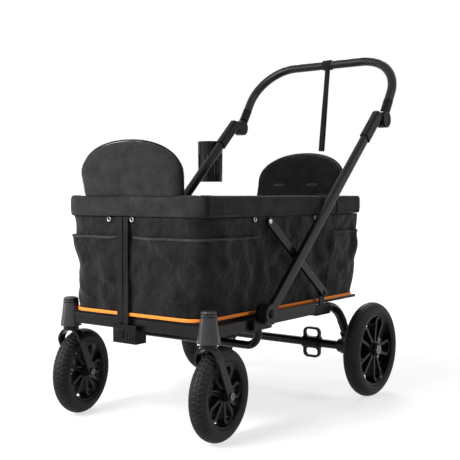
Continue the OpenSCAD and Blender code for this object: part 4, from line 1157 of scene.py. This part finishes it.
# %% [markdown]
# ## Sewing
# Seams are rows of stitches: each stitch is a tiny capsule, and a row is one array of them along a
# path. The rim has a row near each edge, and each seat back one on both faces. A texture could show
# them, but it would need unwrapping, and a capsule stands out of the cloth as thread does.

# %% Stitch rows
STITCH, STITCH_SHARE, STITCH_R = 5.5 * MM, 0.68, 0.55 * MM


def stitch_row(path):
    """Stitches along a closed path (n, 3): it is cut into equal pitches, and each stitch covers a
    share of its pitch with four rings of six points, narrow at both ends."""
    line = np.vstack([path, path[:1]])
    length = run_of(line)[-1]
    count = int(length / STITCH)
    begin = np.arange(count)[:, None] * length / count
    middle = walk(line, begin + np.array([0, 0.18, 0.82, 1.0]) * STITCH_SHARE * STITCH)
    ahead = unit(middle[:, -1] - middle[:, 0])
    circle = circles(*square_to(ahead, [0.31, 0.52, 0.79]), 6)
    wide = np.array([0.25, 1, 1, 0.25])[None, :, None, None] * STITCH_R
    points = middle[:, :, None, :] + wide * circle[:, None]
    one, quads = surface(points[0], False, True)
    every = quads[None] + len(one) * np.arange(count)[:, None, None]
    return points.reshape(-1, 3), every.reshape(-1, 4)


def rim_line(height, out):
    """A line round the rim at a share of its height from the middle, at a distance outward."""
    loop, normal = rim_loop()
    return np.column_stack([loop + out * normal, np.full(len(loop), RIM_Z + height * RIM_H)])


rows = [stitch_row(rim_line(height, 15.6 * MM)) for height in (0.36, -0.36)]
piece("rim_stitches", joined(rows), thread, "rim", merge=0.0)
for end in BACKS:
    flat = in_depth(back_outline(end, 15 * MM), -BACK_T / 2)
    rows = [stitch_row(on_rim(settle(flat, end, towards), 1 * MM)) for towards in (-1, 1)]
    piece(f"{end}_stitches", joined(rows), thread, end, merge=0.0)

# %% [markdown]
# Webbing wraps hold the rim's cover to its rail near the struts and the front corners. A wrap is the
# rim's own profile, a little larger, with the width of the tape, so it sits close round the sleeve.
# Short tabs under the rim carry the steel rings; those at the sides are set back from the casters.

# %% Rim wraps and ring tabs
WRAP_W, WRAP_OUT, WRAP_IN = 16 * MM, 0.9 * MM, -0.8 * MM
WRAP_YS, WRAP_CORNER = (0.175, 0.262), 20 * MM
RING_BACKS, RING_XS, RING_IN = (0.190, 0.500), (-76 * MM, 8 * MM), 3.5 * MM


def rim_wrap(x, y):
    """A closed band round the rim's section at the loop point nearest to (x, y)."""
    loop, normal = rim_loop()
    at = nearest(loop, x, y)
    out = np.append(normal[at], 0.0)
    side = np.array([-out[1], out[0], 0.0])
    middle = np.array([*loop[at], RIM_Z])
    rows = []
    for shift, grow in ((-0.5, WRAP_IN), (-0.5, WRAP_OUT), (0.5, WRAP_OUT), (0.5, WRAP_IN)):
        profile = box_profile(RIM_T + 2 * grow, RIM_H + 2 * grow, RIM_POWER, 72)
        profile[:, 0] = np.maximum(profile[:, 0], 0.6 * MM - RIM_T / 2)
        rows.append(middle + shift * WRAP_W * side + profile[:, :1] * out + profile[:, 1:] * UP)
    return surface(np.array(rows), True, True)


rim_front = float(rim_low[1])
wraps = [rim_wrap(side * RIM_HALF_W, y) for side in (1, -1) for y in WRAP_YS]
wraps += [rim_wrap(side * (RIM_HALF_W - WRAP_CORNER), rim_front + WRAP_CORNER) for side in (1, -1)]
piece("rim_wraps", joined(wraps), webbing, "rim")

caster_y = joints["caster_left_swivel"]["pos_m"][1]
spots = [(side * (RIM_HALF_W - RING_IN), back + caster_y, (0, 1.0, 0))
         for side in (1, -1) for back in RING_BACKS]
spots += [(x, rim_front + RING_IN, (1.0, 0, 0)) for x in RING_XS]
drop = np.linspace(rim_low[2] + 2 * MM, rim_low[2] - 5 * MM, 8)
tabs = []
for x, y, across in spots:
    path = np.column_stack([np.full(8, x), np.full(8, y), drop])
    tabs.append(ribbed_band(path, across, np.cross(across, UP), 9 * MM, 4.6 * MM, 3))
piece("ring_tabs", joined(tabs), webbing, "rim")
print("wraps:", len(wraps), "tabs:", len(tabs))

# %% [markdown]
# The buckle at the foot of the front straps is a plastic block with a raised plate and a few ribs for
# the fingers. They could be drawn in the finish, but slabs with soft edges, set a little into the
# solid, catch the light.

# %% Buckle face
def slab(low, high):
    """A block with soft edges: a nearly square profile in X and Z, carried along Y and drawn in at
    both ends."""
    low, high = np.array(low), np.array(high)
    middle = (low + high) / 2
    profile = box_profile(high[0] - low[0], high[2] - low[2], 0.35, 40)
    along_y = np.array([0, 0.12, 0.88, 1.0]) * (high[1] - low[1]) + low[1]
    drawn = np.array([0.9, 1.0, 1.0, 0.9])[:, None]
    rings = np.stack([middle[0] + drawn * profile[None, :, 0], np.repeat(along_y[:, None], 40, axis=1),
                      middle[2] + drawn * profile[None, :, 1]], axis=-1)
    return capped_tube(rings)


corner_x, face_y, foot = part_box("strap_buckle")[0]
ribs = [slab((x, face_y - 1.2 * MM, foot + 6 * MM), (x + 5 * MM, face_y + 2 * MM, foot + 30 * MM))
        for x in np.linspace(corner_x + 48 * MM, corner_x + 76 * MM, 4)]
plate = slab((corner_x + 4 * MM, face_y - 2.2 * MM, foot + 12 * MM),
             (corner_x + 40 * MM, face_y + 2 * MM, foot + 40 * MM))
piece("buckle_face", joined([*ribs, plate]), black_plastic, "frame")

# %% [markdown]
# ## Floor and light
# A white sweep with soft boxes: a large one in front, one behind, a weak fill on the wagon's left and
# an upright strip on its right. The object is lit at a plain level; the white of the picture comes
# from the floor and the world as the camera sees them, and the floor still takes the shadow.

# %% White floor
FLOOR_HALF = 30.0
WHITE = (1, 1, 1, 1)


def white_floor():
    """A large square under the wagon; the camera sees it mostly as white, with its shade mixed in."""
    made = Finish("white_floor", 0.8)
    made.colours(made.noise(2.0), grey(0.84, 1.0), grey(0.86, 1.0))
    glow = made.add("ShaderNodeEmission", Strength=1.3, Color=WHITE)
    away = made.add("ShaderNodeVectorMath", operation="LENGTH")
    made.link(made.place, away.inputs[0])
    far = made.ranged(away.outputs["Value"], From_Min=0.9, From_Max=3.5, To_Min=0.52, To_Max=0.97)
    share = made.maths("MULTIPLY", made.seen(), far, use_clamp=True)
    mix = made.add("ShaderNodeMixShader")
    for k, out in enumerate((share, made.shader.outputs[0], glow.outputs[0])):
        made.link(out, mix.inputs[k])
    made.link(mix.outputs[0], made.tree.nodes["Material Output"].inputs["Surface"])
    return made.material


ground = bpy.data.meshes.new("studio_floor")
corners = [(x * FLOOR_HALF, y * FLOOR_HALF, 0) for x, y in ((-1, -1), (1, -1), (1, 1), (-1, 1))]
ground.from_pydata(corners, [], [(0, 1, 2, 3)])
ground.materials.append(white_floor())
floor = bpy.data.objects.new("studio_floor", ground)
bpy.context.scene.collection.objects.link(floor)
print("floor:", 2 * FLOOR_HALF, "m square")

# %% [markdown]
# The world lights the wagon weakly but is seen as full white. The lamps are large and soft, as in a
# product studio, so the black parts show broad highlights.

# %% World and lamps
world = bpy.data.worlds.new("studio")
bpy.context.scene.world = world
world.use_nodes = True
sky = Tree(world.node_tree)
background = world.node_tree.nodes["Background"].inputs
background["Color"].default_value = WHITE
sky.link(sky.ranged(sky.seen(), To_Min=0.12, To_Max=1.0), background["Strength"])


def soft_box(name, place, aim, size, power, tall=None):
    """A square lamp that faces a point, or an upright one where its height is given."""
    lamp = bpy.data.lights.new(name, "AREA")
    lamp.shape = "RECTANGLE"
    lamp.size, lamp.size_y, lamp.energy = size, tall or size, power
    made = bpy.data.objects.new(name, lamp)
    made.location = place
    made.rotation_euler = (Vector(aim) - Vector(place)).to_track_quat("-Z", "Y").to_euler()
    bpy.context.scene.collection.objects.link(made)


soft_box("key", (-0.7, -3.0, 2.4), (0, 0, 0.5), 1.5, 170)
soft_box("left_fill", (3.0, 0.6, 2.2), (0, 0, 0.5), 1.0, 30)
soft_box("back", (-1.2, 2.6, 2.6), (0, 0, 0.6), 1.4, 60)
soft_box("right_strip", (-2.4, -2.2, 1.2), (0, 0, 0.5), 0.5, 26, 1.8)
bpy.context.scene.view_settings.view_transform = "Standard"
print("lamps: 4")
